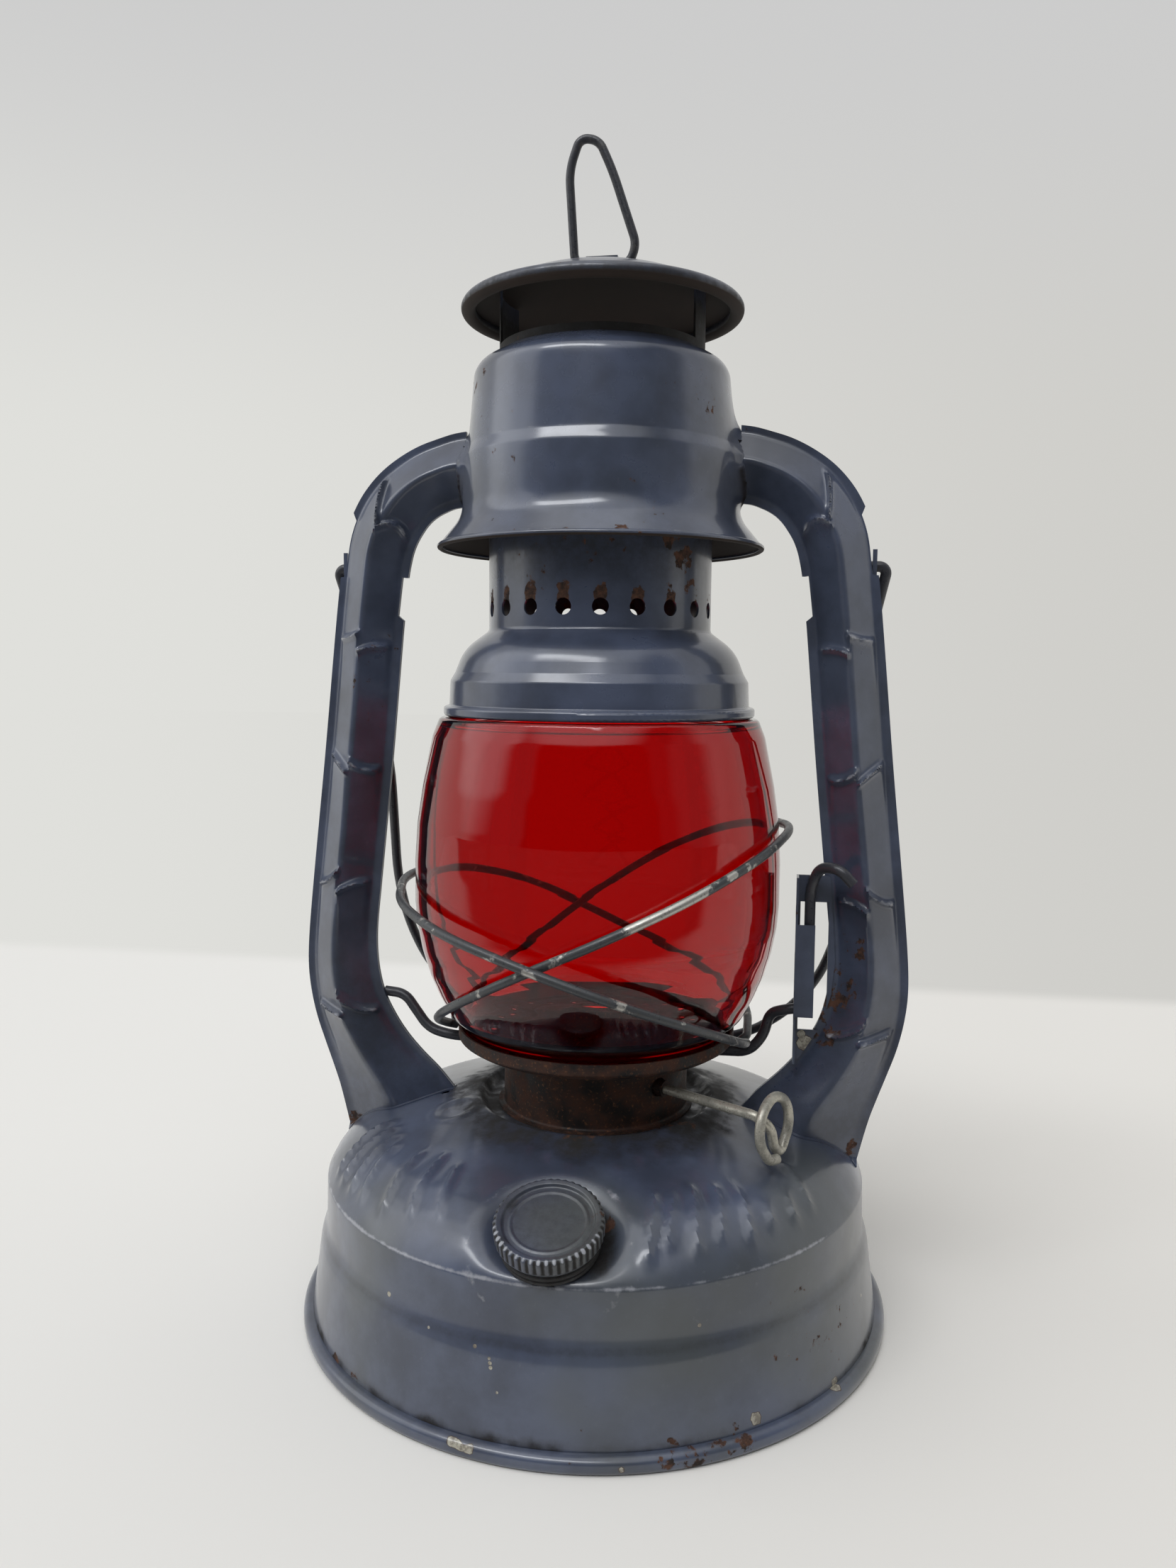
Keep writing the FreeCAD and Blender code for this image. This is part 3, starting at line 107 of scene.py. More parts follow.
def enamel(
    name, rusted_at=(), chipped_at=(), streaked=None, grimed_and_shaded=None, smoky_and_shaded_below=False,
    rust=0.0, rough=0.34, gloss=0.16, faded=0.15,
):
    """Stove enamel on steel: satin, cloudy, rubbed paler where marked, rusty and chipped in places; some
    marks are painted shade and painted highlights.
    """
    material, shader, place = new_material(name)
    # Each pattern's grain in millimetres, its detail and how ragged it is; the scuffs and freckles
    # are drawn coarser than on the real enamel, so that the render can show them
    clouds, ageing, scuffs, freckles, drifts = (
        add_node(material, "TexNoise", {
            "Vector": place, "Scale": 1 / (grain * mm), "Detail": detail, "Roughness": ragged,
        })
        for grain, detail, ragged in (
            (26, 6, 0.6), (70, 3, 0.55), (2.2, 6, 0.72), (3.0, 5, 0.62), (45, 2, 0.55),
        )
    )
    marks = {
        mark: add_node(material, "Attribute", {}, attribute_name=mark).outputs["Fac"]
        for mark in ("grime", "rust", "worn", "chip")
    }
    for mark, extra in (
        ("grime", grimed_and_shaded and grimed_and_shaded(material, place)),
        ("rust", rusted_at and blots(material, place, rusted_at)),
        ("rust", streaked and streaked(material, place)),
        ("chip", chipped_at and blots(material, place, chipped_at)),
    ):
        if extra:
            marks[mark] = add_node(material, "Math", {0: marks[mark], 1: extra}, operation="MAXIMUM")
    dirt_and_shade, spread, rubbed, chipped = (
        add_node(material, "Math", {0: pattern, 1: share, 2: base}, operation="MULTIPLY_ADD")
        for pattern, share, base in (
            (scuffs, 0.5, marks["grime"]), (marks["rust"], 0.5, drifts),
            (freckles, 0.9, marks["worn"]), (freckles, 0.8, marks["chip"]),
        )
    )
    rusted = add_node(material, "Math", {0: spread, 1: 0.7, 2: freckles}, operation="MULTIPLY_ADD")
    rust_colour = painted(material, colour_of("1E1410"), colour_of("553727"), scuffs, 0.35, 0.65)
    bare_colour = painted(material, colour_of("A39F90"), colour_of("6F685C"), scuffs, 0.42, 0.58)
    colour = colour_of("343A49")
    for over, source, low, high, most in (
        (colour_of("4A5266"), clouds, 0.34, 0.68, 1.0),
        (colour_of("454948"), ageing, 0.46, 0.64, faded),
        (colour_of("6E727B"), scuffs, 0.58, 0.78, 0.22),
        # This mark darkens with soil, and also with painted shade in the fount's step and filler seat,
        # under the cap's rim, on the crown's neck and on the flue
        (colour_of("1B1816"), dirt_and_shade, 0.45, 1.10, 1.0),
        (rust_colour, rusted, 1.10 - rust, 1.17 - rust, 1.0),
        # The rubbed mark is paler enamel, and also a painted highlight along the fount's shoulder and on
        # the tubes' crease lips
        (colour_of("8E9096"), rubbed, 0.88, 1.25, 1.0),
        (colour_of("3A2A1E"), chipped, 0.86, 0.92, 1.0),
        (bare_colour, chipped, 0.97, 1.03, 1.0),
    ):
        colour = painted(material, colour, over, source, low, high, most)
    matt = add_node(material, "Math", {
        0: add_node(material, "MapRange", {
            "Value": rusted, "From Min": 1.10 - rust, "From Max": 1.17 - rust,
        }, interpolation_type="SMOOTHSTEP"),
        1: add_node(material, "MapRange", {
            "Value": dirt_and_shade, "From Min": 0.45, "From Max": 1.10, "To Max": 0.9,
        }, interpolation_type="SMOOTHSTEP"),
    }, operation="MAXIMUM")
    # Faces that point down go smoke-brown and matt: smoke, and painted shade under overhangs
    if smoky_and_shaded_below:
        facing = add_node(material, "TexCoord", {}).outputs["Normal"]
        smoke_and_shade = add_node(material, "MapRange", {
            "Value": add_node(material, "SeparateXYZ", {"Vector": facing}).outputs["Z"],
            "From Min": -0.15, "From Max": -0.45,
        }, interpolation_type="SMOOTHSTEP")
        smoke_and_shade_colour = add_node(material, "Mix", {
            0: clouds, 6: colour_of("140F0C"), 7: colour_of("33241B"),
        }, data_type="RGBA")
        colour = add_node(material, "Mix", {0: smoke_and_shade, 6: colour, 7: smoke_and_shade_colour}, data_type="RGBA")
        matt = add_node(material, "Math", {0: matt, 1: smoke_and_shade}, operation="MAXIMUM")
    add_node(material, shader, {
        "Base Color": colour,
        "Roughness": add_node(material, "Math", {
            0: add_node(material, "MapRange", {
                "Value": clouds, "From Min": 0.30, "From Max": 0.72,
                "To Min": rough + 0.07, "To Max": rough - 0.04,
            }, interpolation_type="SMOOTHSTEP"),
            1: add_node(material, "Math", {0: matt, 1: 0.85}, operation="MULTIPLY"),
        }, operation="MAXIMUM"),
        "IOR": 1.5,
        "Coat Weight": add_node(material, "MapRange", {
            "Value": matt, "From Min": 0.0, "From Max": 0.8, "To Min": 0.8, "To Max": 0.0,
        }, interpolation_type="SMOOTHSTEP"),
        "Coat Roughness": gloss,
        "Normal": add_node(material, "Bump", {"Height": scuffs, "Strength": 0.08, "Distance": 0.1 * mm}),
    })
    return material


def finish_nodes(material, *nodes):
    """Gives a frame node's own slots the finished material."""
    for node in nodes:
        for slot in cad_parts[node].material_slots:
            slot.material = material


def wire_profile(path, grain):
    """A wire of (radius, height, bend) corners in millimetres, bends made arcs, cut to the grain."""
    mesh = bmesh.new()
    corners = [mesh.verts.new((corner[0] * mm, 0, corner[1] * mm)) for corner in path]
    for one, two in zip(corners, corners[1:]):
        mesh.edges.new((one, two))
    turns = []
    for before, corner, after in zip(path, path[1:], path[2:]):
        one = Vector((corner[0] - before[0], corner[1] - before[1]))
        two = Vector((after[0] - corner[0], after[1] - corner[1]))
        turns.append(one.angle(two))
    for vert, corner, turn in zip(corners[1:], path[1:], turns):
        if len(corner) > 2:
            bmesh.ops.bevel(
                mesh, geom=[vert], offset=corner[2] * math.tan(0.5 * turn) * mm, offset_type="OFFSET",
                segments=max(2, math.ceil(turn * 7)), profile=0.5, affect="VERTICES", material=-1,
            )
    for edge in list(mesh.edges):
        cuts = round(edge.calc_length() / (grain * mm)) - 1
        if cuts > 0:
            bmesh.ops.subdivide_edges(mesh, edges=[edge], cuts=cuts)
    return mesh


def spun(mesh, steps):
    """Turns a wire about the lantern's axis into a sheet: an eighth is spun and then doubled thrice."""
    bmesh.ops.spin(
        mesh, geom=mesh.verts[:] + mesh.edges[:], cent=(0, 0, 0), axis=(0, 0, 1),
        angle=math.pi / 4, steps=steps // 8,
    )
    for turn in (math.pi / 4, math.pi / 2, math.pi):
        twin = bmesh.ops.duplicate(mesh, geom=mesh.verts[:] + mesh.edges[:] + mesh.faces[:])
        twin_verts = [item for item in twin["geom"] if isinstance(item, bmesh.types.BMVert)]
        bmesh.ops.rotate(mesh, verts=twin_verts, cent=(0, 0, 0), matrix=Matrix.Rotation(turn, 3, "Z"))
    bmesh.ops.remove_doubles(mesh, verts=mesh.verts, dist=0.01 * mm)
    bmesh.ops.recalc_face_normals(mesh, faces=mesh.faces)


def thickened(mesh, thickness):
    """Gives a sheet its thickness on the inner side of its faces."""
    bmesh.ops.solidify(mesh, geom=mesh.faces[:], thickness=thickness * mm)
    bmesh.ops.recalc_face_normals(mesh, faces=mesh.faces)


def piece_of(mesh, name, material, smooth_angle=35):
    """Turns a finished bmesh into a smooth-shaded object of one material."""
    data = bpy.data.meshes.new(name)
    mesh.to_mesh(data)
    mesh.free()
    data.shade_smooth()
    data.set_sharp_from_angle(angle=math.radians(smooth_angle))
    data.materials.append(material)
    made = bpy.data.objects.new(name, data)
    bpy.context.scene.collection.objects.link(made)
    return made


def smooth(low, high, number):
    """Smoothly 0 to 1 as the number goes from low to high."""
    share = min(1.0, max(0.0, (number - low) / (high - low)))
    return share * share * (3 - 2 * share)


fount_path = [
    (82.1, 4.35), (79.5, 23.8, 6), (77.9, 29.0, 6), (77.6, 41.0, 1.2), (73.1, 51.1, 22),
    (34.2, 61.3, 1.6), (31.6, 58.6, 1.2), (21.0, 58.6),
]
fount = wire_profile(fount_path, 1.15)
dome_line = sorted((vert.co.x / mm, vert.co.z / mm) for vert in fount.verts if vert.co.z > 41 * mm)


def dome_top(radius):
    """Height of the dome's outside at a radius, in millimetres; past the dome it falls steeply."""
    for low, high in zip(dome_line, dome_line[1:]):
        if low[0] <= radius <= high[0]:
            return low[1] + (high[1] - low[1]) * (radius - low[0]) / (high[0] - low[0])
    return dome_line[-1][1] - (radius - dome_line[-1][0]) * 8


filler_seat = Vector((0, -67.7, 46.3))
filler_tilt = math.radians(21)
filler_axis = Vector((0, -math.sin(filler_tilt), math.cos(filler_tilt)))
seat_radius, neck_hole_radius = 21, 10.6
well_radius = 34.2
knob_loop = Vector((47.8, -38.3))
dimple_centre = Vector((-38.0, -18.0, 59.2))
# Ribs of the dome: angle about the axis, inner and outer radius, slant, half width, height
dome_ribs = [
    (204, 58, 77, 9, 1.4, 1.8), (209, 57, 77, 9, 1.4, 1.7), (214, 57, 76, 9, 1.4, 1.5),
    (219, 59, 75, 9, 1.3, 1.1), (228, 55, 75, 8, 1.3, 1.2), (235, 53, 73, 8, 1.3, 1.2),
    (242, 54, 71, 7, 1.3, 1.0), (291, 57, 76, -6, 1.3, 1.5), (295.5, 58, 73, -6, 1.2, 1.2),
    (301, 56, 75, -6, 1.3, 1.3), (307, 58, 73, -6, 1.2, 1.2), (313, 57, 75, -6, 1.3, 1.3),
    (319, 58, 74, -6, 1.2, 1.2), (325, 58, 75, -6, 1.3, 1.3), (331, 60, 74, -6, 1.2, 1.0),
]


def pressed_height(place):
    """How far the press tool raised the dome at a place, in millimetres, less near the knob's loop."""
    radius = math.hypot(place.x, place.y)
    angle = math.degrees(math.atan2(place.y, place.x)) % 360
    height = 0.0
    for middle, inner, outer, slant, half, rise in dome_ribs:
        along = (radius - inner) / (outer - inner)
        if -0.1 < along < 1.1:
            aside = math.radians(angle - middle - slant * (along - 0.5)) * radius
            ends = smooth(-0.08, 0.2, along) * smooth(1.08, 0.85, along)
            height += rise * ends * math.exp(-(aside / half) ** 2)
    height *= smooth(5, 11, math.hypot(place.x - knob_loop.x, place.y - knob_loop.y))
    dimple = (place - dimple_centre).length
    return height + 0.4 * math.exp(-((dimple - 6.4) / 1.1) ** 2) - 0.4 * smooth(6, 3.5, dimple)


def marked(mesh, **marks):
    """Writes marks from 0 to 1 on the mesh, each worked out from a place in millimetres."""
    for name, share in marks.items():
        layer = mesh.verts.layers.float.new(name)
        for vert in mesh.verts:
            vert[layer] = min(1.0, max(0.0, share(vert.co / mm)))


def spots(places, softness=0.6):
    """A mark that is 1 inside each (x, y, z, radius) spot and fades beyond its edge."""
    centres = [(Vector(place[:3]), place[3]) for place in places]
    return lambda place: max(
        smooth((1 + softness) * reach, (1 - softness) * reach, (place - centre).length)
        for centre, reach in centres
    )


def fount_grime(place):
    """Lamp oil and soil: thick in the well, thin towards the shoulder and round the filler, whose seat it
    also darkens with painted shade; the band along the step is painted shade.
    """
    radius = math.hypot(place.x, place.y)
    patchy = 0.5 + 0.5 * noise.noise(place / 9) + 0.3 * noise.noise(place / 3)
    well = smooth(58, 35, radius) * (0.45 + 0.5 * patchy)
    # Round the filler seat, most on its right, this is partly painted shade in the sunken seat
    filler = smooth(19, 14, (place - filler_seat).length) * (0.35 + 0.4 * smooth(-6, 8, place.x))
    filler *= smooth(41, 45, place.z)
    foot = smooth(9, 4.5, place.z) * 0.9 * patchy
    # A soft dark band along the step in the side: painted shade, where the step faces down
    groove_shade = 0.42 * math.exp(-((place.z - 26.6) / 1.9) ** 2)
    return max(well, filler, foot, groove_shade)


def fount_wear_and_highlight(place):
    """Handling rubs the lip of the seat and the ring of the well; the bright line along the front of the
    shoulder's crest is a painted highlight.
    """
    radius = math.hypot(place.x, place.y)
    patchy = 0.5 + 0.5 * noise.noise(place / 6)
    ring = math.exp(-((radius - well_radius) / 0.9) ** 2) * 0.5
    away = (place - filler_seat).length
    lip = math.exp(-((away - 20) / 1.6) ** 2) * smooth(4, 12, abs(place.x)) * 0.55
    # A painted highlight: a bright line along the shoulder's crest, strongest at the front
    crest = math.exp(-((place.z - 41.5) / 0.8) ** 2) * smooth(10, -50, place.y)
    crest *= 0.66 + 0.25 * noise.noise(place / 16)
    return max(max(ring, lip) * (0.4 + 0.8 * patchy), crest)


spun(fount, 360)
for vert in fount.verts:
    place = vert.co / mm
    if place.z > 44:
        radius = math.hypot(place.x, place.y)
        lifted = pressed_height(place) * smooth(34, 38, radius) * smooth(44, 47, place.z)
        place += Vector((0.25 * place.x / radius, 0.25 * place.y / radius, 1)).normalized() * lifted
    offset = place - filler_seat
    height = offset.dot(filler_axis)
    away = (offset - filler_axis * height).length
    if away < seat_radius and place.y < 0 and place.z > 40:
        sunk = (smooth(11.5, seat_radius, away) - 1) * smooth(40.2, 43.5, place.z)
        place += filler_axis * height * sunk
    vert.co = place * mm
marked(
    fount, grime=fount_grime, worn=fount_wear_and_highlight,
    rust=spots([
        (-60, -57, 4.4, 2.5), (-52, -64, 4.4, 2.5), (31, -76, 5, 2.5), (44, -69, 5, 2.5),
        (0, -31, 59, 8), (26, -20, 59, 7), (14, -61, 49, 2.5),
    ]),
    chip=spots([(49.9, -65.1, 6.5, 1.7), (68.8, -43.7, 4.9, 1.5)]),
)


def has_opening(place):
    """Inside the neck hole, or under a tube's foot where the air enters."""
    offset = place - filler_seat
    aside = offset - filler_axis * offset.dot(filler_axis)
    under_foot = 43.4 < abs(place.x) < 47.6 and abs(place.y) < 3.6
    return aside.length < neck_hole_radius and place.y < 0 or under_foot


opened = [face for face in fount.faces if has_opening(face.calc_center_median() / mm)]
bmesh.ops.delete(fount, geom=opened, context="FACES")
thickened(fount, 0.6)
body_enamel = enamel(
    "fount_enamel", rough=0.36, gloss=0.16, faded=0.7,
    chipped_at=[
        (-41.3, -65.8, 29.5, 0.7), (-16.4, -77.4, 25.2, 0.5), (-12.6, -78.6, 23.2, 0.4),
        (-12.4, -78.8, 22.2, 0.5), (-12.2, -79.0, 21.2, 0.5), (-10.4, -79.9, 15.8, 0.35),
        (36.1, -68.9, 31, 0.5), (-29.0, -73.2, 26.2, 0.35), (76.7, -23.9, 17.8, 0.5),
    ],
)
fount_piece = piece_of(fount, "fount_tank", body_enamel)
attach(fount_piece, "frame")
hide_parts("fount_shell")

bottom = wire_profile([
    (0, 8.0), (80.7, 8.0, 0.4), (80.7, 4.3), (84.8, 4.3, 2.0), (84.8, 0.0, 1.6), (80.1, 0.0, 0.8),
    (80.1, 7.4), (0, 7.4),
], 3.0)
spun(bottom, 300)
marked(
    bottom,
    chip=spots([
        (-20.5, -82, 3.6, 1.5), (-18.6, -82.4, 2.8, 1.2), (-16.6, -83, 3.0, 1.4),
        (68.8, -45.0, 3.6, 2.0), (20, -82, 2, 1.0), (-60, 60, 3, 3),
    ]),
    rust=spots([
        (30, -79, 3.4, 3.5), (36, -77, 3.0, 4), (42, -74, 3.2, 4), (48, -70, 3.6, 3.5),
        (60, 58, 2, 8), (-84, 10, 2, 4),
    ], 0.5),
    grime=lambda place: 0.35 * smooth(2.2, 4.4, place.z) + 0.3 * smooth(1.5, 0.2, place.z),
)
bottom_piece = piece_of(bottom, "fount_bead_and_bottom", body_enamel)
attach(bottom_piece, "frame")
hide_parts("fount_bottom")


# Filler: a short rolled neck in the dished seat, and a pressed screw cap with a knurled rim and two
# rolled rings on its skirt. The cap carries the fount's enamel, worn to bright steel on its knurls.
def onto_filler(mesh):
    """Moves a piece that was turned about the Z axis onto the filler's leaning axis."""
    bmesh.ops.rotate(mesh, verts=mesh.verts, cent=(0, 0, 0), matrix=Matrix.Rotation(filler_tilt, 3, "X"))
    bmesh.ops.translate(mesh, verts=mesh.verts, vec=filler_seat * mm)


knurls, knurl_depth = 44, 0.024
cap = wire_profile([
    (11.5, 0.8), (12.2, 0.8, 0.3), (12.2, 1.7, 0.3), (11.7, 2.1, 0.3), (12.5, 2.7, 0.4), (12.5, 3.5, 0.4),
    (11.9, 4.0, 0.3), (12.7, 4.6, 0.4), (13.4, 5.6, 0.5), (13.5, 8.9, 0.7), (12.6, 9.5, 0.7),
    (11.4, 9.3, 0.4), (10.9, 8.5, 0.5), (9.9, 8.5, 0.5), (9.3, 8.8, 0.5), (8.6, 8.5, 0.5), (0, 8.6),
], 0.55)
spun(cap, knurls * 7)
for mark in ("worn", "grime"):
    cap.verts.layers.float.new(mark)
rubbed, soiled_and_shaded = cap.verts.layers.float["worn"], cap.verts.layers.float["grime"]
for vert in cap.verts:
    place = vert.co / mm
    radius = math.hypot(place.x, place.y)
    ridged = smooth(12.3, 13.1, radius) * smooth(4.9, 5.8, place.z)
    wave = math.cos(math.atan2(place.y, place.x) * knurls)
    vert.co.x *= 1 - knurl_depth * ridged * (0.5 - 0.5 * wave)
    vert.co.y *= 1 - knurl_depth * ridged * (0.5 - 0.5 * wave)
    lip = smooth(8.3, 9.2, place.z) * smooth(11.6, 12.6, radius)
    patch = 0.5 + 0.5 * noise.noise(place / 5)
    vert[rubbed] = lip * (0.55 + 0.5 * wave) * (0.4 + 0.9 * patch) * smooth(10, -8, place.y)
    # Darker all over, in patches on the left, in the knurls' valleys and most on the skirt under the rim,
    # where it is partly painted shade
    vert[soiled_and_shaded] = max(
        0.42, 0.75 * smooth(5.4, 3.8, place.z), ridged * (0.55 - 0.35 * wave),
        0.8 * smooth(-4, -9, place.x) * patch,
    )
thickened(cap, 0.5)
onto_filler(cap)
cap_enamel = enamel("filler_cap_enamel", rust=0.02, rough=0.42, gloss=0.3, faded=0.9)
cap_piece = piece_of(cap, "filler_cap_pressed", cap_enamel, 40)
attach(cap_piece, "fuel_cap")
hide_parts("fuel_cap")


def rusty_steel(name, bare="15100E", rust="44281B"):
    """Bare steel gone brown: fine rust over a dark scale, dull nearly everywhere."""
    material, shader, place = new_material(name)
    clouds = add_node(material, "TexNoise", {
        "Vector": place, "Scale": 1 / (6 * mm), "Detail": 6, "Roughness": 0.65,
    })
    grit = add_node(material, "TexNoise", {
        "Vector": place, "Scale": 1 / (0.8 * mm), "Detail": 4, "Roughness": 0.55,
    })
    colour = painted(material, colour_of(bare), colour_of(rust), clouds, 0.35, 0.66)
    add_node(material, shader, {
        "Base Color": painted(material, colour, colour_of("6A4429"), grit, 0.55, 0.75),
        "Metallic": 0.1,
        "Roughness": add_node(material, "MapRange", {
            "Value": clouds, "From Min": 0.30, "From Max": 0.70, "To Min": 0.55, "To Max": 0.85,
        }, interpolation_type="SMOOTHSTEP"),
        "Normal": add_node(material, "Bump", {"Height": grit, "Strength": 0.35, "Distance": 0.15 * mm}),
    })
    return material


def plain_cotton(name, light="8C8676", dark="3B342C"):
    """Woven cotton wick or cork: dull, with short broken threads across it."""
    material, shader, place = new_material(name)
    weave = add_node(material, "TexNoise", {
        "Vector": place, "Scale": 1 / (0.7 * mm), "Detail": 3, "Roughness": 0.55,
    })
    add_node(material, shader, {
        "Base Color": add_node(material, "Mix", {
            0: weave, 6: colour_of(dark), 7: colour_of(light),
        }, data_type="RGBA"),
        "Roughness": 0.95,
    })
    return material


burner_rust = rusty_steel("burner_steel_rusted")
cork = plain_cotton("seal_cork", light="9A7448", dark="5F4427")
finish_nodes(burner_rust, "filler_neck")
finish_nodes(cork, "cap_seal")


# Burner: a soldered collar, the drum and body screwed into it, and the flat wick in its tube, over the
# air chamber that the tubes feed. The sheet steel has gone brown with rust; the wick is woven cotton.
finish_nodes(body_enamel, "air_chamber")
finish_nodes(burner_rust, "burner_collar", "burner_drum", "burner_body", "wick_tube", "shaft_bush")
wick_cotton = plain_cotton("wick_cotton")
finish_nodes(wick_cotton, "wick")


# Wick shaft: one bent wire with a loop as its knob, galvanised and dull, with bright rubbed patches,
# and the two spur wheels on it that drive the wick.
def zinc_wire(name, dull="3B3D3F", bright="B4B2AB", worn=(0.58, 0.64), bare_at=()):
    """Galvanised wire: a dull grey-green coat, rubbed through to bright zinc in patches."""
    material, shader, place = new_material(name)
    patches = add_node(material, "TexNoise", {
        "Vector": place, "Scale": 1 / (9 * mm), "Detail": 6, "Roughness": 0.7,
    })
    grit = add_node(material, "TexNoise", {
        "Vector": place, "Scale": 1 / (0.9 * mm), "Detail": 4, "Roughness": 0.55,
    })
    if bare_at:
        patches = add_node(material, "Math", {
            0: blots(material, place, bare_at, 0.4), 1: 0.24, 2: patches,
        }, operation="MULTIPLY_ADD")
    rubbed = add_node(material, "MapRange", {
        "Value": patches, "From Min": worn[0], "From Max": worn[1],
    }, interpolation_type="SMOOTHSTEP")
    colour = add_node(material, "Mix", {
        0: rubbed, 6: colour_of(dull), 7: colour_of(bright),
    }, data_type="RGBA")
    add_node(material, shader, {
        "Base Color": painted(material, colour, colour_of("3A3128"), grit, 0.58, 0.70, 0.5),
        "Metallic": add_node(material, "Math", {0: rubbed, 1: 0.7}, operation="MULTIPLY"),
        "Roughness": add_node(material, "MapRange", {
            "Value": grit, "From Min": 0.3, "From Max": 0.7, "To Min": 0.26, "To Max": 0.46,
        }, interpolation_type="SMOOTHSTEP"),
        "Normal": add_node(material, "Bump", {"Height": grit, "Strength": 0.3, "Distance": 0.12 * mm}),
    })
    return material


knob_zinc = zinc_wire("knob_wire_galvanised", dull="7B7970", bright="B9B5A8", worn=(0.38, 0.62))
finish_nodes(knob_zinc, "wick_shaft")
finish_nodes(burner_rust, "wick_wheels")


# Globe plate and burner cone: pressed steel, browned by heat and rust, riding together on the lift
# wire. The plate's turned up rim holds the globe.
finish_nodes(burner_rust, "globe_plate", "burner_cone")


# Guard: two hoops of galvanised wire that cross in front of and behind the globe, brazed to the
# plate. The coat is rubbed to bright metal where hands and the handle touch it.
guard_zinc = zinc_wire("guard_wire_galvanised", bare_at=[
    (23, -54, 127, 8), (33, -48, 133, 8), (42, -41, 137, 5), (-8, -58, 109, 2.5), (-46, -36, 129, 3),
])
finish_nodes(guard_zinc, "guard_hoop_left", "guard_hoop_right")


# Globe: blown soda glass, ruby all through, so that it is nearly black where the eye looks along its
# wall. It stands in the rim of the plate and is widest just above its middle.
globe = wire_profile([
    (38.2, 80.3), (38.8, 83.1, 2.0), (42.8, 86.7, 3.0), (52.35, 105.3, 57), (52.35, 142.0, 108),
    (47.3, 166.4, 4), (45.3, 171.4, 1.4), (42.9, 171.5),
], 1.6)
spun(globe, 288)
for vert in globe.verts:
    place = vert.co / mm
    ripple = 0.05 * noise.noise(place / 26) * smooth(84, 96, place.z)
    vert.co.x *= 1 + ripple * 0.02
    vert.co.y *= 1 + ripple * 0.02
thickened(globe, 3.0)
ruby, ruby_shader = new_material("ruby_glass")[:2]
add_node(ruby, ruby_shader, {
    "Base Color": colour_of("FFF4F2"), "Transmission Weight": 1.0, "IOR": 1.52, "Roughness": 0.0,
})
add_node(ruby, ruby.node_tree.nodes["Material Output"], {
    "Volume": add_node(ruby, "VolumeAbsorption", {"Color": colour_of("F6040A"), "Density": 1800.0}),
})
globe_piece = piece_of(globe, "blown_globe", ruby, 60)
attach(globe_piece, "globe_carriage")
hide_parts("globe")


# Side tubes: each is two pressed steel halves, enamelled, folded together along flanges in the
# plane of both tubes. The press gave every half a row of leaf creases, and its foot turns out in a
# lip that is soldered to the dome. The raised lips of the creases are rubbed paler and painted
# brighter as highlights.
outer_flange, inner_flange = 2.2, 2.4
outer_cut, inner_cut = 1.75, 1.9
sheet_out, tube_depth, ridge_round, root_round = 0.65, 8.5, 2.0, 0.5
lip_width, lip_height, swell_height = 0.9, 1.8, 1.6
hood_neck_radius, dome_clearance, foot_lip = 38.9, 0.35, 1.3
rows, facet_columns, halvings = 420, 30, 20
# Stations down the tube: radius and height of its outer edge, then of its inner edge
tube_stations = [
    (34.0, 252.6, 34.0, 231.2), (42.0, 251.7, 41.5, 230.7), (47.5, 250.2, 45.3, 229.4),
    (53.0, 248.3, 48.2, 227.8), (58.4, 245.5, 50.4, 225.8), (63.4, 242.0, 52.3, 223.2),
    (67.3, 238.2, 53.8, 220.6), (70.6, 233.8, 54.9, 217.8), (73.3, 228.6, 55.7, 214.6),
    (75.2, 223.0, 56.3, 211.4), (76.3, 216.4, 57.0, 206.0), (78.3, 200.0, 58.2, 194.5),
    (82.4, 160.0, 61.6, 158.0), (86.8, 120.0, 65.7, 119.0), (88.4, 103.0, 66.9, 106.0),
    (88.6, 94.0, 66.6, 96.5), (87.7, 86.0, 64.8, 88.0), (86.0, 78.6, 61.6, 81.2),
    (83.6, 71.4, 57.6, 75.2), (81.2, 64.6, 53.0, 70.0), (78.9, 57.6, 47.4, 64.6),
    (76.0, 46.0, 41.0, 57.0),
]
reaches = [0.0]
for before, after in zip(tube_stations, tube_stations[1:]):
    step = [0.5 * (after[i] + after[i + 2] - before[i] - before[i + 2]) for i in (0, 1)]
    reaches.append(reaches[-1] + math.hypot(*step))


def station_at(reach):
    """Both edges of the tube at a distance along its middle line, on a smooth curve."""
    number = max(n for n in range(len(reaches) - 1) if reaches[n] <= reach or n == 0)
    low, high = reaches[number], reaches[number + 1]
    share = (reach - low) / (high - low)
    found = []
    for one, two, before, after in zip(
        tube_stations[number], tube_stations[number + 1],
        tube_stations[max(number - 1, 0)], tube_stations[min(number + 2, len(reaches) - 1)],
    ):
        into = (two - before) / (high - reaches[max(number - 1, 0)]) * (high - low)
        out = (after - one) / (reaches[min(number + 2, len(reaches) - 1)] - low) * (high - low)
        square, cube = share**2, share**3
        found.append(
            one * (2 * cube - 3 * square + 1) + into * (cube - 2 * square + share)
            + two * (3 * square - 2 * cube) + out * (cube - square)
        )
    return Vector((found[0], 0, found[1])), Vector((found[2], 0, found[3]))


def reach_of(height):
    """Distance along the tube's middle line where it passes a height."""
    steps = [0.5 * n for n in range(int(2 * reaches[-1]))]
    return min(steps, key=lambda reach: abs(sum(edge.z for edge in station_at(reach)) / 2 - height))


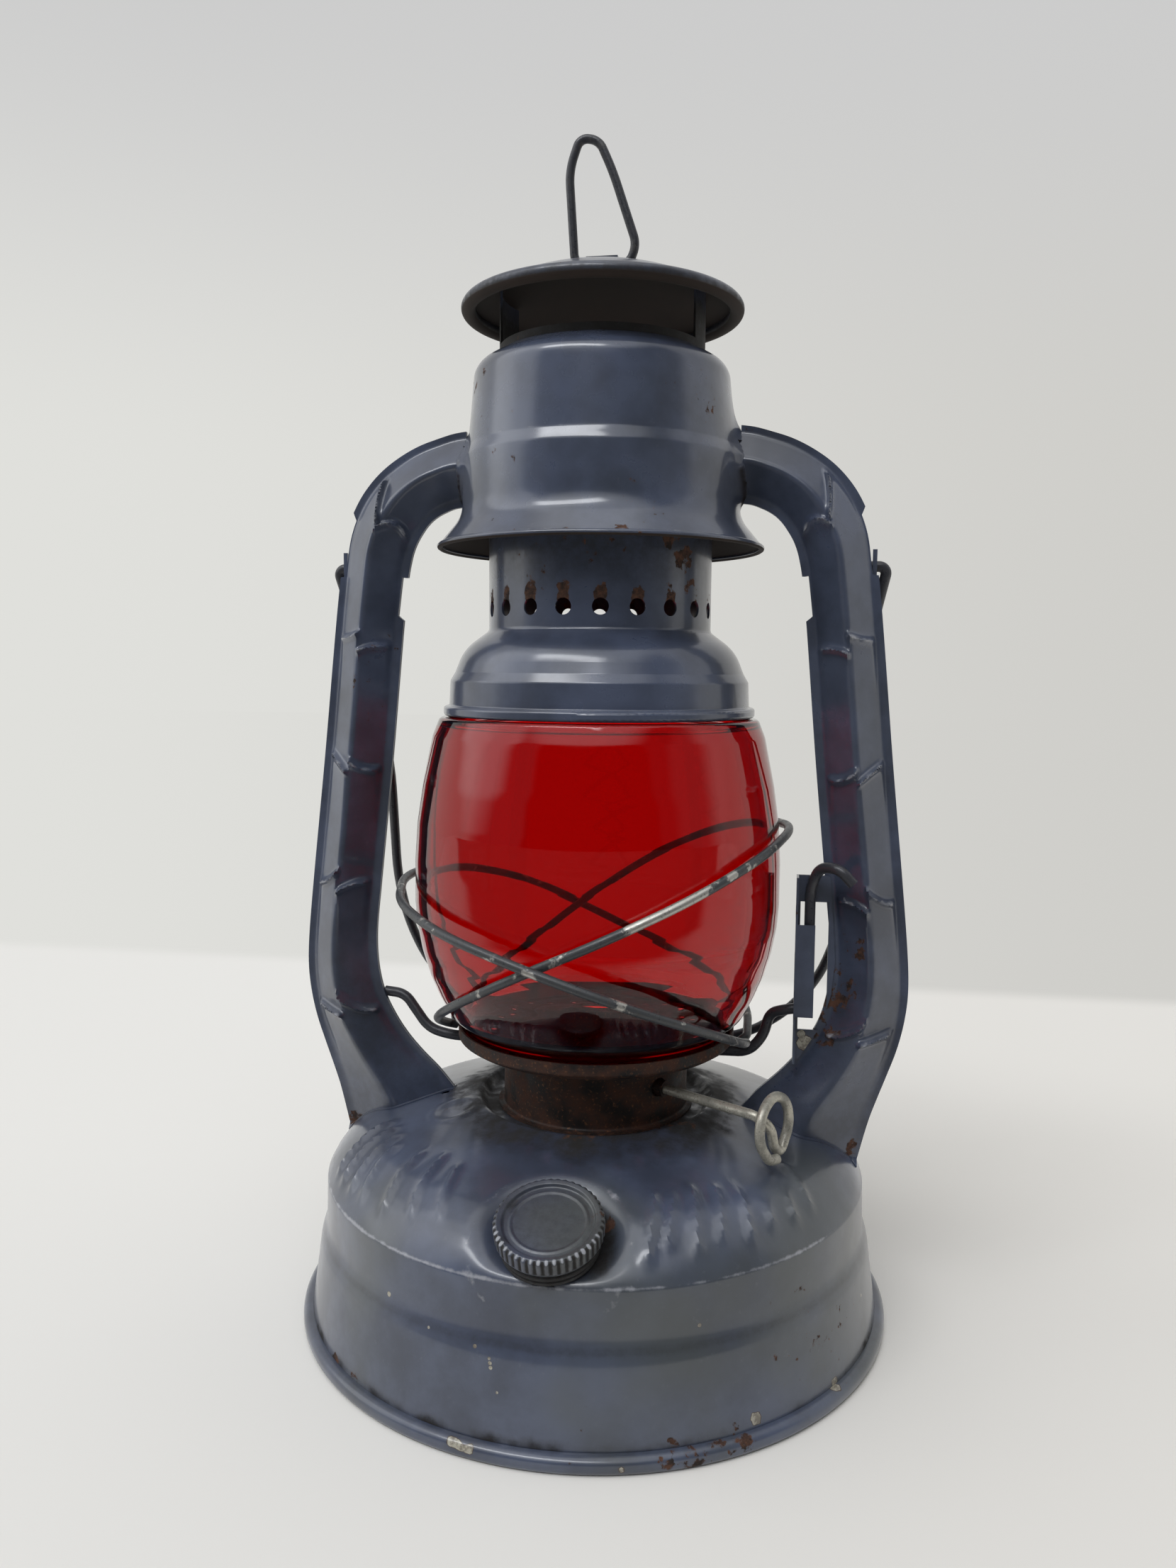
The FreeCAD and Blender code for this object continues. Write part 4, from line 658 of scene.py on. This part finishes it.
# Leaf creases: height on the middle line, then how far down the line runs at the outer root, the
# middle of the outer facet and the ridge, and at the ridge, the inner facet and the inner root
leaf_creases = [
    (reach_of(height), outer, inner) for height, outer, inner in (
        (229, (-5, -1, 3.5), (5.5, 0, 1.5)),
        (192, (0.6, -0.6, -2.7), (2.6, 0.2, -0.4)),
        (157, (-2.6, -0.4, 2.2), (-1.4, 1.0, 0.6)),
        (122, (1.2, 0.2, -3.6), (3.0, 0.4, 0.4)),
        (84, (-1.6, 0.2, 1.6), (-5.0, 0.6, 1.6)),
    )
]


def crease_at(reach, across):
    """The pressed crease's lip, and the swell below it, at a place on the sheet."""
    lip = swell = 0.0
    edges = smooth(0.0, 0.10, across) * smooth(1.0, 0.90, across)
    inner_share = smooth(0.47, 0.53, across)
    for middle, outer, inner in leaf_creases:
        if abs(reach - middle) > 34:
            continue
        for drops, share, low in ((outer, 1 - inner_share, 0.0), (inner, inner_share, 0.5)):
            part = min(1.0, max(0.0, 2 * (across - low)))
            bow = drops[0] * (1 - part) * (1 - 2 * part) + 4 * drops[1] * part * (1 - part)
            bow += drops[2] * part * (2 * part - 1)
            below = reach - middle - bow
            lip += share * math.exp(-(below / lip_width) ** 2)
            swell += share * smooth(-0.7, 0.4, below) * math.exp(-max(below, 0) / 8)
    return lip * edges, swell * edges


def crease_width(width):
    """Places across the sheet where its columns stand, closer at the roots and at the ridge."""
    left, right = outer_flange + 0.8, width - inner_flange - 0.8
    facets = [left + (right - left) * n / facet_columns for n in range(1, facet_columns)]
    return (
        [0, 0.7, 1.4, 1.9, 2.3, 2.6, left] + facets
        + [right, width - 2.8, width - 2.5, width - 2.1, width - 1.5, width - 0.8, width]
    )


def soft_least(one, two, room):
    """The lesser of two values, rounded off where they are closer together than the room."""
    part = max(room - abs(one - two), 0) / room
    return min(one, two) - part * part * room / 4


def tube_sheet(reach, column):
    """A place on the front right half's outside, and how much of a crease's lip is there."""
    outer, inner = station_at(reach)
    width = (inner - outer).length
    along = crease_width(width)[column]
    half = 0.5 * (width - outer_flange - inner_flange)
    slope = (tube_depth - sheet_out) / half
    facets = soft_least(
        slope * (along - outer_flange), slope * (width - inner_flange - along), ridge_round,
    )
    rise = -soft_least(-facets, 0, root_round)
    across = (along - outer_flange) / (2 * half)
    lip, swell = crease_at(reach, across)
    middle = 0.5 * (outer + inner)
    if along < outer_flange:
        cut_away = smooth(222.5, 221.6, middle.z) * smooth(206.8, 207.7, middle.z)
        along += outer_cut * (1 - along / outer_flange) * cut_away
    elif width - along < inner_flange:
        cut_away = smooth(216.6, 215.8, middle.z) * smooth(202.2, 203.0, middle.z)
        along -= inner_cut * (1 - (width - along) / inner_flange) * cut_away
    place = outer + (inner - outer).normalized() * along
    place.y = -(sheet_out + rise + lip_height * lip + swell_height * swell)
    return place, lip


def clear_of_hood(reach, column):
    """How far a place on the sheet lies outside the hood's neck."""
    place = tube_sheet(reach, column)[0]
    return math.hypot(place.x, place.y) - hood_neck_radius


def clear_of_dome(reach, column):
    """How far a place on the sheet lies above the dome."""
    place = tube_sheet(reach, column)[0]
    return place.z - dome_top(math.hypot(place.x, place.y)) - dome_clearance


def first_clear(blocked, free, clear, column):
    """The reach where a column of the sheet comes clear of the hood or the dome."""
    for _ in range(halvings):
        middle = 0.5 * (blocked + free)
        blocked, free = (blocked, middle) if clear(middle, column) > 0 else (middle, free)
    return free


# The front right half: its top follows the hood, and its foot turns out along the dome
pressed = bmesh.new()
worn = pressed.verts.layers.float.new("worn")
lines = []
for column in range(len(crease_width(20))):
    top_end = first_clear(0, 20, clear_of_hood, column)
    foot_end = first_clear(reaches[-1] - 0.1, reaches[-1] - 45, clear_of_dome, column)
    line = []
    for row in range(rows + 1):
        place, lip = tube_sheet(top_end + (foot_end - top_end) * row / rows, column)
        vert = pressed.verts.new(place * mm)
        # The crease lips are marked paler: rubbed, and painted highlight where they would catch the light
        vert[worn] = min(1.0, lip * (0.55 + 0.5 * noise.noise(place / 3)))
        line.append(vert)
    lines.append(line)
for one, two in zip(lines, lines[1:]):
    for row in range(rows):
        pressed.faces.new((one[row], one[row + 1], two[row + 1], two[row]))
pressed.normal_update()
feet = [line[-1] for line in lines]
lips = []
for vert in feet:
    place = vert.co / mm
    radius = math.hypot(place.x, place.y)
    fall = 0.5 * (dome_top(radius - 1) - dome_top(radius + 1))
    upward = Vector((fall * place.x / radius, fall * place.y / radius, 1)).normalized()
    outward = vert.normal if vert.normal.y < 0 else -vert.normal
    reached = place + (outward - upward * outward.dot(upward)).normalized() * foot_lip
    reached.z = dome_top(math.hypot(reached.x, reached.y)) + dome_clearance
    lips.append(pressed.verts.new(reached * mm))
for one, two, low, high in zip(feet, feet[1:], lips, lips[1:]):
    pressed.faces.new((one, low, high, two))


def tube_grime(material, place):
    """The tubes are dirtier towards their feet, and on the lever's side all the way up."""
    parts = add_node(material, "SeparateXYZ", {"Vector": place}).outputs
    return add_node(material, "Math", {
        0: add_node(material, "MapRange", {
            "Value": parts["Z"], "From Min": 0.07, "From Max": 0.17, "To Min": 0.36, "To Max": 0.04,
        }, interpolation_type="SMOOTHSTEP"),
        1: add_node(material, "MapRange", {
            "Value": parts["X"], "From Min": 0.0, "From Max": 0.03, "To Max": 0.24,
        }, interpolation_type="SMOOTHSTEP"),
    }, operation="MAXIMUM")


tube_enamel = enamel(
    "tube_enamel", rough=0.30, gloss=0.13, grimed_and_shaded=tube_grime,
    rusted_at=[
        (66, -6, 96, 9), (64, -4, 84, 7), (72, -8, 108, 5), (80, -5, 66, 4), (75, 0, 50, 4),
        (-74, 0, 48, 3),
    ],
)
for side_name, side in (("right", 1), ("left", -1)):
    for half_name, facing in (("front", 1), ("back", -1)):
        half = pressed.copy()
        bmesh.ops.scale(half, vec=(side, facing, 1), verts=half.verts)
        bmesh.ops.recalc_face_normals(half, faces=half.faces)
        if sum(face.normal.y for face in half.faces) * facing > 0:
            bmesh.ops.reverse_faces(half, faces=half.faces)
        thickened(half, 0.45)
        name = f"{side_name}_tube_{half_name}"
        half_piece = piece_of(half, f"pressed_{name}", tube_enamel, 50)
        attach(half_piece, "frame")
        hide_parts(name)
pressed.free()


# Lift guide and lift wire: an enamelled strip with a window, riveted to the right tube, and the bent
# steel wire whose lever rests in it. The strip's foot is chipped to pale primer.
guide_enamel = enamel(
    "lift_guide_enamel", rough=0.36, rust=0.02,
    chipped_at=[(60.5, -2, 79.5, 2.4), (61.8, -2, 76.0, 1.6), (59.4, -2, 82.0, 1.4)],
    rusted_at=[(58.0, -5, 88.5, 1.8), (57.2, -4, 118, 2.0)],
)
finish_nodes(guide_enamel, "lift_guide")
dark_wire = zinc_wire("dark_drawn_wire", dull="34353A", bright="6E6B64", worn=(0.62, 0.80))
finish_nodes(dark_wire, "lift_wire")


# Hood: one drawn sheet with a step round its middle, a flared skirt with a rolled edge, and two
# swelling collars into which the tubes are crimped. The enamel is cleaner here, rusty on the edge,
# and dark on its undersides with smoke and painted shade.
hood = wire_profile([
    (45.9, 218.9), (45.1, 219.5, 0.4), (hood_neck_radius, 227.0, 9.0), (38.5, 242.8, 2.0),
    (37.2, 246.0, 2.0), (35.4, 267.4, 5.0), (29.2, 271.0),
], 1.2)
spun(hood, 360)


def collar_swell(place):
    """How far the hood swells out to meet a tube, by the distance from the tube's outline."""
    apart = (abs(place.y) + 0.96 * abs(place.z - 241.6) - 8.6) / 1.4
    apart = max(apart, abs(place.y) - 7.4)
    return 2.3 * math.exp(-max(apart, 0) / 2.2) * smooth(228, 232, place.z)


for vert in hood.verts:
    place = vert.co / mm
    if abs(place.x) > 25 and place.z > 222:
        radius = math.hypot(place.x, place.y)
        vert.co.x *= 1 + collar_swell(place) / radius
        vert.co.y *= 1 + collar_swell(place) / radius
opened = [
    face for face in hood.faces
    if abs(face.calc_center_median().y) < 4.6 * mm and 236 * mm < face.calc_center_median().z < 247 * mm
]
bmesh.ops.delete(hood, geom=opened, context="FACES")
marked(
    hood,
    worn=lambda place: (
        0.4 * math.exp(-((place.z - 246.2) / 0.7) ** 2) + 0.6 * smooth(220.6, 219.2, place.z)
    ),
    rust=spots([
        (-16, -42, 218.5, 2), (-2, -45, 218.5, 1.5), (12, -43, 218.5, 2), (44, 8, 219, 3),
        (-30, 33, 219, 6), (1, -38.5, 254, 1.2), (1, -38.5, 250, 1.0),
    ], 0.8),
)
thickened(hood, 0.55)
rolled = bmesh.new()
edge_radius, edge_height, roll_radius, roll_sides = 45.1, 218.8, 0.8, 10
around_edge = [
    rolled.verts.new((
        edge_radius * mm + roll_radius * mm * math.cos(turn), 0,
        edge_height * mm + roll_radius * mm * math.sin(turn),
    ))
    for turn in (math.tau * step / roll_sides for step in range(roll_sides))
]
for one, two in zip(around_edge, around_edge[1:] + around_edge[:1]):
    rolled.edges.new((one, two))
spun(rolled, 360)
rim_data = bpy.data.meshes.new("rolled_rim")
rolled.to_mesh(rim_data)
rolled.free()
hood.from_mesh(rim_data)
hood_enamel = enamel("hood_enamel", smoky_and_shaded_below=True, rust=0.01, rough=0.28, gloss=0.10)
hood_piece = piece_of(hood, "drawn_hood", hood_enamel, 40)
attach(hood_piece, "frame")
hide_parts("hood")


# Bail: the long handle of drawn steel wire, gone dark, hooked at each end into an enamelled ear that
# is riveted to the tube.
finish_nodes(body_enamel, "bail_ear_right", "bail_ear_left")
finish_nodes(dark_wire, "bail")


# Crown: the drawn cover that stands on the globe, with a drilled neck; enamelled, with rust that
# creeps up from the holes, and its neck darkened with painted shade under the hood.
neck_holes = 20


def hole_streaks(material, place):
    """Rust that creeps up from the holes of the neck."""
    parts = add_node(material, "SeparateXYZ", {"Vector": place}).outputs
    angle = add_node(material, "Math", {0: parts["Y"], 1: parts["X"]}, operation="ARCTAN2")
    phase = add_node(material, "Math", {
        0: add_node(material, "Math", {0: angle, 1: neck_holes}, operation="MULTIPLY"), 1: math.pi,
    }, operation="SUBTRACT")
    near_hole = add_node(material, "MapRange", {
        "Value": add_node(material, "Math", {0: phase}, operation="COSINE"),
        "From Min": 0.0, "From Max": 0.9,
    }, interpolation_type="SMOOTHSTEP")
    above = add_node(material, "Math", {
        0: add_node(material, "MapRange", {
            "Value": parts["Z"], "From Min": 0.200, "From Max": 0.203,
        }, interpolation_type="SMOOTHSTEP"),
        1: add_node(material, "MapRange", {
            "Value": parts["Z"], "From Min": 0.204, "From Max": 0.211, "To Min": 1, "To Max": 0,
        }, interpolation_type="SMOOTHSTEP"),
    }, operation="MULTIPLY")
    return add_node(material, "Math", {0: near_hole, 1: above}, operation="MULTIPLY")


def neck_grime(material, place):
    """The neck is painted dark and dull under the hood: painted shade, where the hood's skirt keeps the
    light off it.
    """
    up = add_node(material, "SeparateXYZ", {"Vector": place}).outputs["Z"]
    return add_node(material, "MapRange", {
        "Value": up, "From Min": 0.192, "From Max": 0.220, "To Max": 0.5,
    }, interpolation_type="SMOOTHSTEP")


crown_enamel = enamel(
    "crown_enamel", streaked=hole_streaks, grimed_and_shaded=neck_grime, rust=0.02, rough=0.30, gloss=0.14,
    rusted_at=[(27, -16, 206, 4), (26, -19, 214, 4), (22, -23, 221, 4)],
)
finish_nodes(crown_enamel, "globe_crown")


# Chimney: the enamelled exhaust tube that slides in the hood, dark below its edges and above the
# hood with smoke and painted shade, the rusty seat on it, and the coil spring that presses it down
# on the globe. The spring is two pieces that meet, since the globe's lift presses its upper turns and
# the chimney's own slide its lower ones.
def flue_grime(material, place):
    """The exhaust tube is darker just above the hood, under the cap: smoke, and painted shade."""
    up = add_node(material, "SeparateXYZ", {"Vector": place}).outputs["Z"]
    return add_node(material, "Math", {
        0: add_node(material, "MapRange", {
            "Value": up, "From Min": 0.260, "From Max": 0.268, "To Max": 0.8,
        }, interpolation_type="SMOOTHSTEP"),
        1: add_node(material, "MapRange", {
            "Value": up, "From Min": 0.280, "From Max": 0.288, "To Min": 1.0, "To Max": 0.3,
        }, interpolation_type="SMOOTHSTEP"),
    }, operation="MULTIPLY")


chimney_enamel = enamel("chimney_enamel", smoky_and_shaded_below=True, grimed_and_shaded=flue_grime, rust=0.02, rough=0.34)
finish_nodes(chimney_enamel, "chimney_tube")
finish_nodes(burner_rust, "spring_seat")
coil_radius, coil_wire, coil_pitch, coil_turns = 31.2, 1.4, 5.46, 3.5
coil_low, coil_middle, hood_top = 227.95, 247.06, 270.2
coil_steps, coil_sides = 48, 10


def coil(name, low, first_turn):
    """Some turns of the spring: a round wire wound upwards from a height, closed at both ends."""
    mesh = bmesh.new()
    sections = []
    for step in range(int(coil_turns * coil_steps) + 1):
        turn = math.tau * (first_turn + step / coil_steps)
        out = Vector((math.cos(turn), math.sin(turn), 0))
        centre = out * coil_radius + Vector((0, 0, low + coil_pitch * step / coil_steps))
        section = []
        for corner in range(coil_sides):
            side = math.tau * corner / coil_sides
            aside = out * math.cos(side) + Vector((0, 0, math.sin(side)))
            section.append(mesh.verts.new((centre + 0.5 * coil_wire * aside) * mm))
        sections.append(section)
    for one, two in zip(sections, sections[1:]):
        for corner in range(coil_sides):
            following = (corner + 1) % coil_sides
            mesh.faces.new((one[corner], one[following], two[following], two[corner]))
    mesh.faces.new(sections[0])
    mesh.faces.new(sections[-1])
    bmesh.ops.recalc_face_normals(mesh, faces=mesh.faces)
    return piece_of(mesh, name, burner_rust, 60)


lower_coils = coil("wound_spring_lower", coil_low, 0)
upper_coils = coil("wound_spring_upper", coil_middle, coil_turns)
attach(lower_coils, "globe_carriage")
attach(upper_coils, "frame")
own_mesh(lower_coils)
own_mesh(upper_coils)
for coils in (lower_coils, upper_coils):
    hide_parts("chimney_spring")


# Chimney cap: a pressed lid with a rolled rim and a folded strap, enamelled, smoke-brown beneath,
# partly painted shade. The top ring of dark wire turns in the strap.
finish_nodes(chimney_enamel, "chimney_cap", "ring_strap")
finish_nodes(dark_wire, "top_ring")


# Table: a matt pale sheet of paper that keeps the lantern's shadow, and that turns into the pale
# backdrop from the far line on, so that no edge shows behind the lantern.
far_line = 0.345
eye = Vector((52.027, -336.098, 185.8)) * mm
bpy.ops.mesh.primitive_plane_add(size=8, location=(0, 0, 0))
floor = bpy.context.object
floor.name = "floor"
paper, paper_shader, paper_place = new_material("pale_paper")
across, away = add_node(paper, "SeparateXYZ", {"Vector": paper_place}).outputs[:2]
paper_colour = painted(paper, colour_of("E3E1DC"), colour_of("DEDBD5"), across, -0.15, 0.20)
ray = add_node(paper, "LightPath", {}).outputs
# Only reflections see the table darker in front, where the real room is dark
dim_front = add_node(paper, "Math", {
    0: add_node(paper, "Math", {
        0: ray["Is Glossy Ray"], 1: ray["Is Transmission Ray"],
    }, operation="SUBTRACT"),
    1: add_node(paper, "MapRange", {
        "Value": away, "From Min": -0.24, "From Max": -0.14, "To Min": 1.0, "To Max": 0.0,
    }, interpolation_type="SMOOTHSTEP"),
}, operation="MULTIPLY")
paper_colour = add_node(paper, "Mix", {
    0: dim_front, 6: paper_colour, 7: colour_of("444444"),
}, data_type="RGBA")
add_node(paper, paper_shader, {"Base Color": paper_colour, "Roughness": 0.9})
# Beyond the far line the plane glows like the room behind it, by its slope from the eye
aslant = add_node(paper, "Math", {
    0: add_node(paper, "Math", {0: across, 1: eye.x}, operation="SUBTRACT"),
    1: add_node(paper, "Math", {0: away, 1: eye.y}, operation="SUBTRACT"),
}, operation="DIVIDE")
wall = add_node(paper, "Emission", {
    "Color": painted(paper, colour_of("E0E0DC"), colour_of("CFCECA"), aslant, -0.75, 0.374),
    "Strength": 1.0,
})
turned = add_node(paper, "MixShader", {
    0: add_node(paper, "MapRange", {
        "Value": away, "From Min": far_line, "From Max": far_line + 0.03,
    }, interpolation_type="SMOOTHSTEP"),
    1: paper_shader, 2: wall,
})
add_node(paper, paper.node_tree.nodes["Material Output"], {"Surface": turned})
floor.data.materials.append(paper)


# Room: pale behind the lantern, grey at its sides and dark in front, with soft light from above and
# from the left, and a narrow roof window that draws the bright lines along steps and rims.
world = bpy.data.worlds.new("pale_room")
bpy.context.scene.world = world
world.use_nodes = True
room = world.node_tree.nodes["Background"]
around = add_node(world, "TexCoord", {}).outputs["Generated"]
east, _, aloft = add_node(world, "SeparateXYZ", {"Vector": around}).outputs
front, front_below = (0.09, -1.0, 0.0), (0.09, -1.0, -0.10)
window_left, window_right, skylight = (-0.90, -0.22, 0.50), (0.97, -0.20, 0.30), (-0.05, -0.46, 0.88)
roof_window = Vector((-0.24, -0.55, 0.80)).normalized()
roof_slope = roof_window.cross(roof_window.cross(Vector((0, 0, 1))).normalized())


def nearness(direction, edge, middle, most=1.0):
    """Grows from 0 to the most between the edge of a round patch of the room and its middle."""
    toward = Vector(direction).normalized()
    return add_node(world, "MapRange", {
        "Value": add_node(world, "VectorMath", {0: around, 1: toward}, operation="DOT_PRODUCT"),
        "From Min": edge, "From Max": middle, "To Max": most,
    }, interpolation_type="SMOOTHSTEP")


backdrop = painted(world, colour_of("E0E0DC"), colour_of("CFCECA"), east, -0.6, 0.35)
backdrop = painted(world, backdrop, colour_of("CCCCCC"), aloft, 0.15, 0.50)
walls = add_node(world, "Mix", {
    0: nearness(front, 0.05, 0.30), 6: backdrop,
    7: painted(world, colour_of("626368"), colour_of("45464A"), east, -0.3, 0.3),
}, data_type="RGBA")
walls = add_node(world, "Mix", {
    0: nearness(front_below, 0.69, 0.75), 6: walls, 7: colour_of("262628"),
}, data_type="RGBA")
# The eye sees the plain backdrop, also through the globe; the walls and lights show in reflections
path = add_node(world, "LightPath", {}).outputs
seen = add_node(world, "Math", {
    0: path["Is Camera Ray"], 1: path["Is Transmission Ray"],
}, operation="MAXIMUM")
add_node(world, room, {
    "Color": add_node(world, "Mix", {0: seen, 6: walls, 7: backdrop}, data_type="RGBA"),
})
off_line = add_node(world, "VectorMath", {0: around, 1: roof_slope}, operation="DOT_PRODUCT")
lights = add_node(world, "Math", {
    0: add_node(world, "MapRange", {
        "Value": add_node(world, "Math", {0: off_line}, operation="ABSOLUTE"),
        "From Min": 0.07, "From Max": 0.11, "To Min": 1.0, "To Max": 0.0,
    }, interpolation_type="SMOOTHSTEP"),
    1: nearness(roof_window, 0.90, 0.95, 8.0),
}, operation="MULTIPLY")
for light in (
    nearness(window_left, 0.88, 0.95, 1.15), nearness(window_right, 0.91, 0.96, 0.10),
    nearness(skylight, 0.74, 0.90, 1.05),
):
    lights = add_node(world, "Math", {0: lights, 1: light}, operation="ADD")
unseen = add_node(world, "Math", {0: 1.0, 1: seen}, operation="SUBTRACT")
glow = add_node(world, "Background", {
    "Color": colour_of("FAFCFF"),
    "Strength": add_node(world, "Math", {0: lights, 1: unseen}, operation="MULTIPLY"),
})
add_node(world, world.node_tree.nodes["World Output"], {
    "Surface": add_node(world, "AddShader", {0: room, 1: glow}),
})


# Camera: where the photograph was taken from, a little above the globe's top and to the right, with
# the whole lantern in an upright frame.
right = Vector((0.98668332, 0.16243027, 0.00851032))
up = Vector((-0.0243772, 0.09594309, 0.99508827))
focal_pixels = 1671
frame_height_pixels = 2212
camera = bpy.data.cameras.new("photograph")
camera.sensor_fit = "VERTICAL"
camera.sensor_height = 36
camera.lens = focal_pixels / frame_height_pixels * camera.sensor_height
holder = bpy.data.objects.new("photograph", camera)
bpy.context.scene.collection.objects.link(holder)
back = right.cross(up)
holder.matrix_world = Matrix.Translation(eye) @ Matrix((right, up, back)).transposed().to_4x4()
bpy.context.scene.camera = holder
bpy.context.scene.view_settings.view_transform = "Standard"
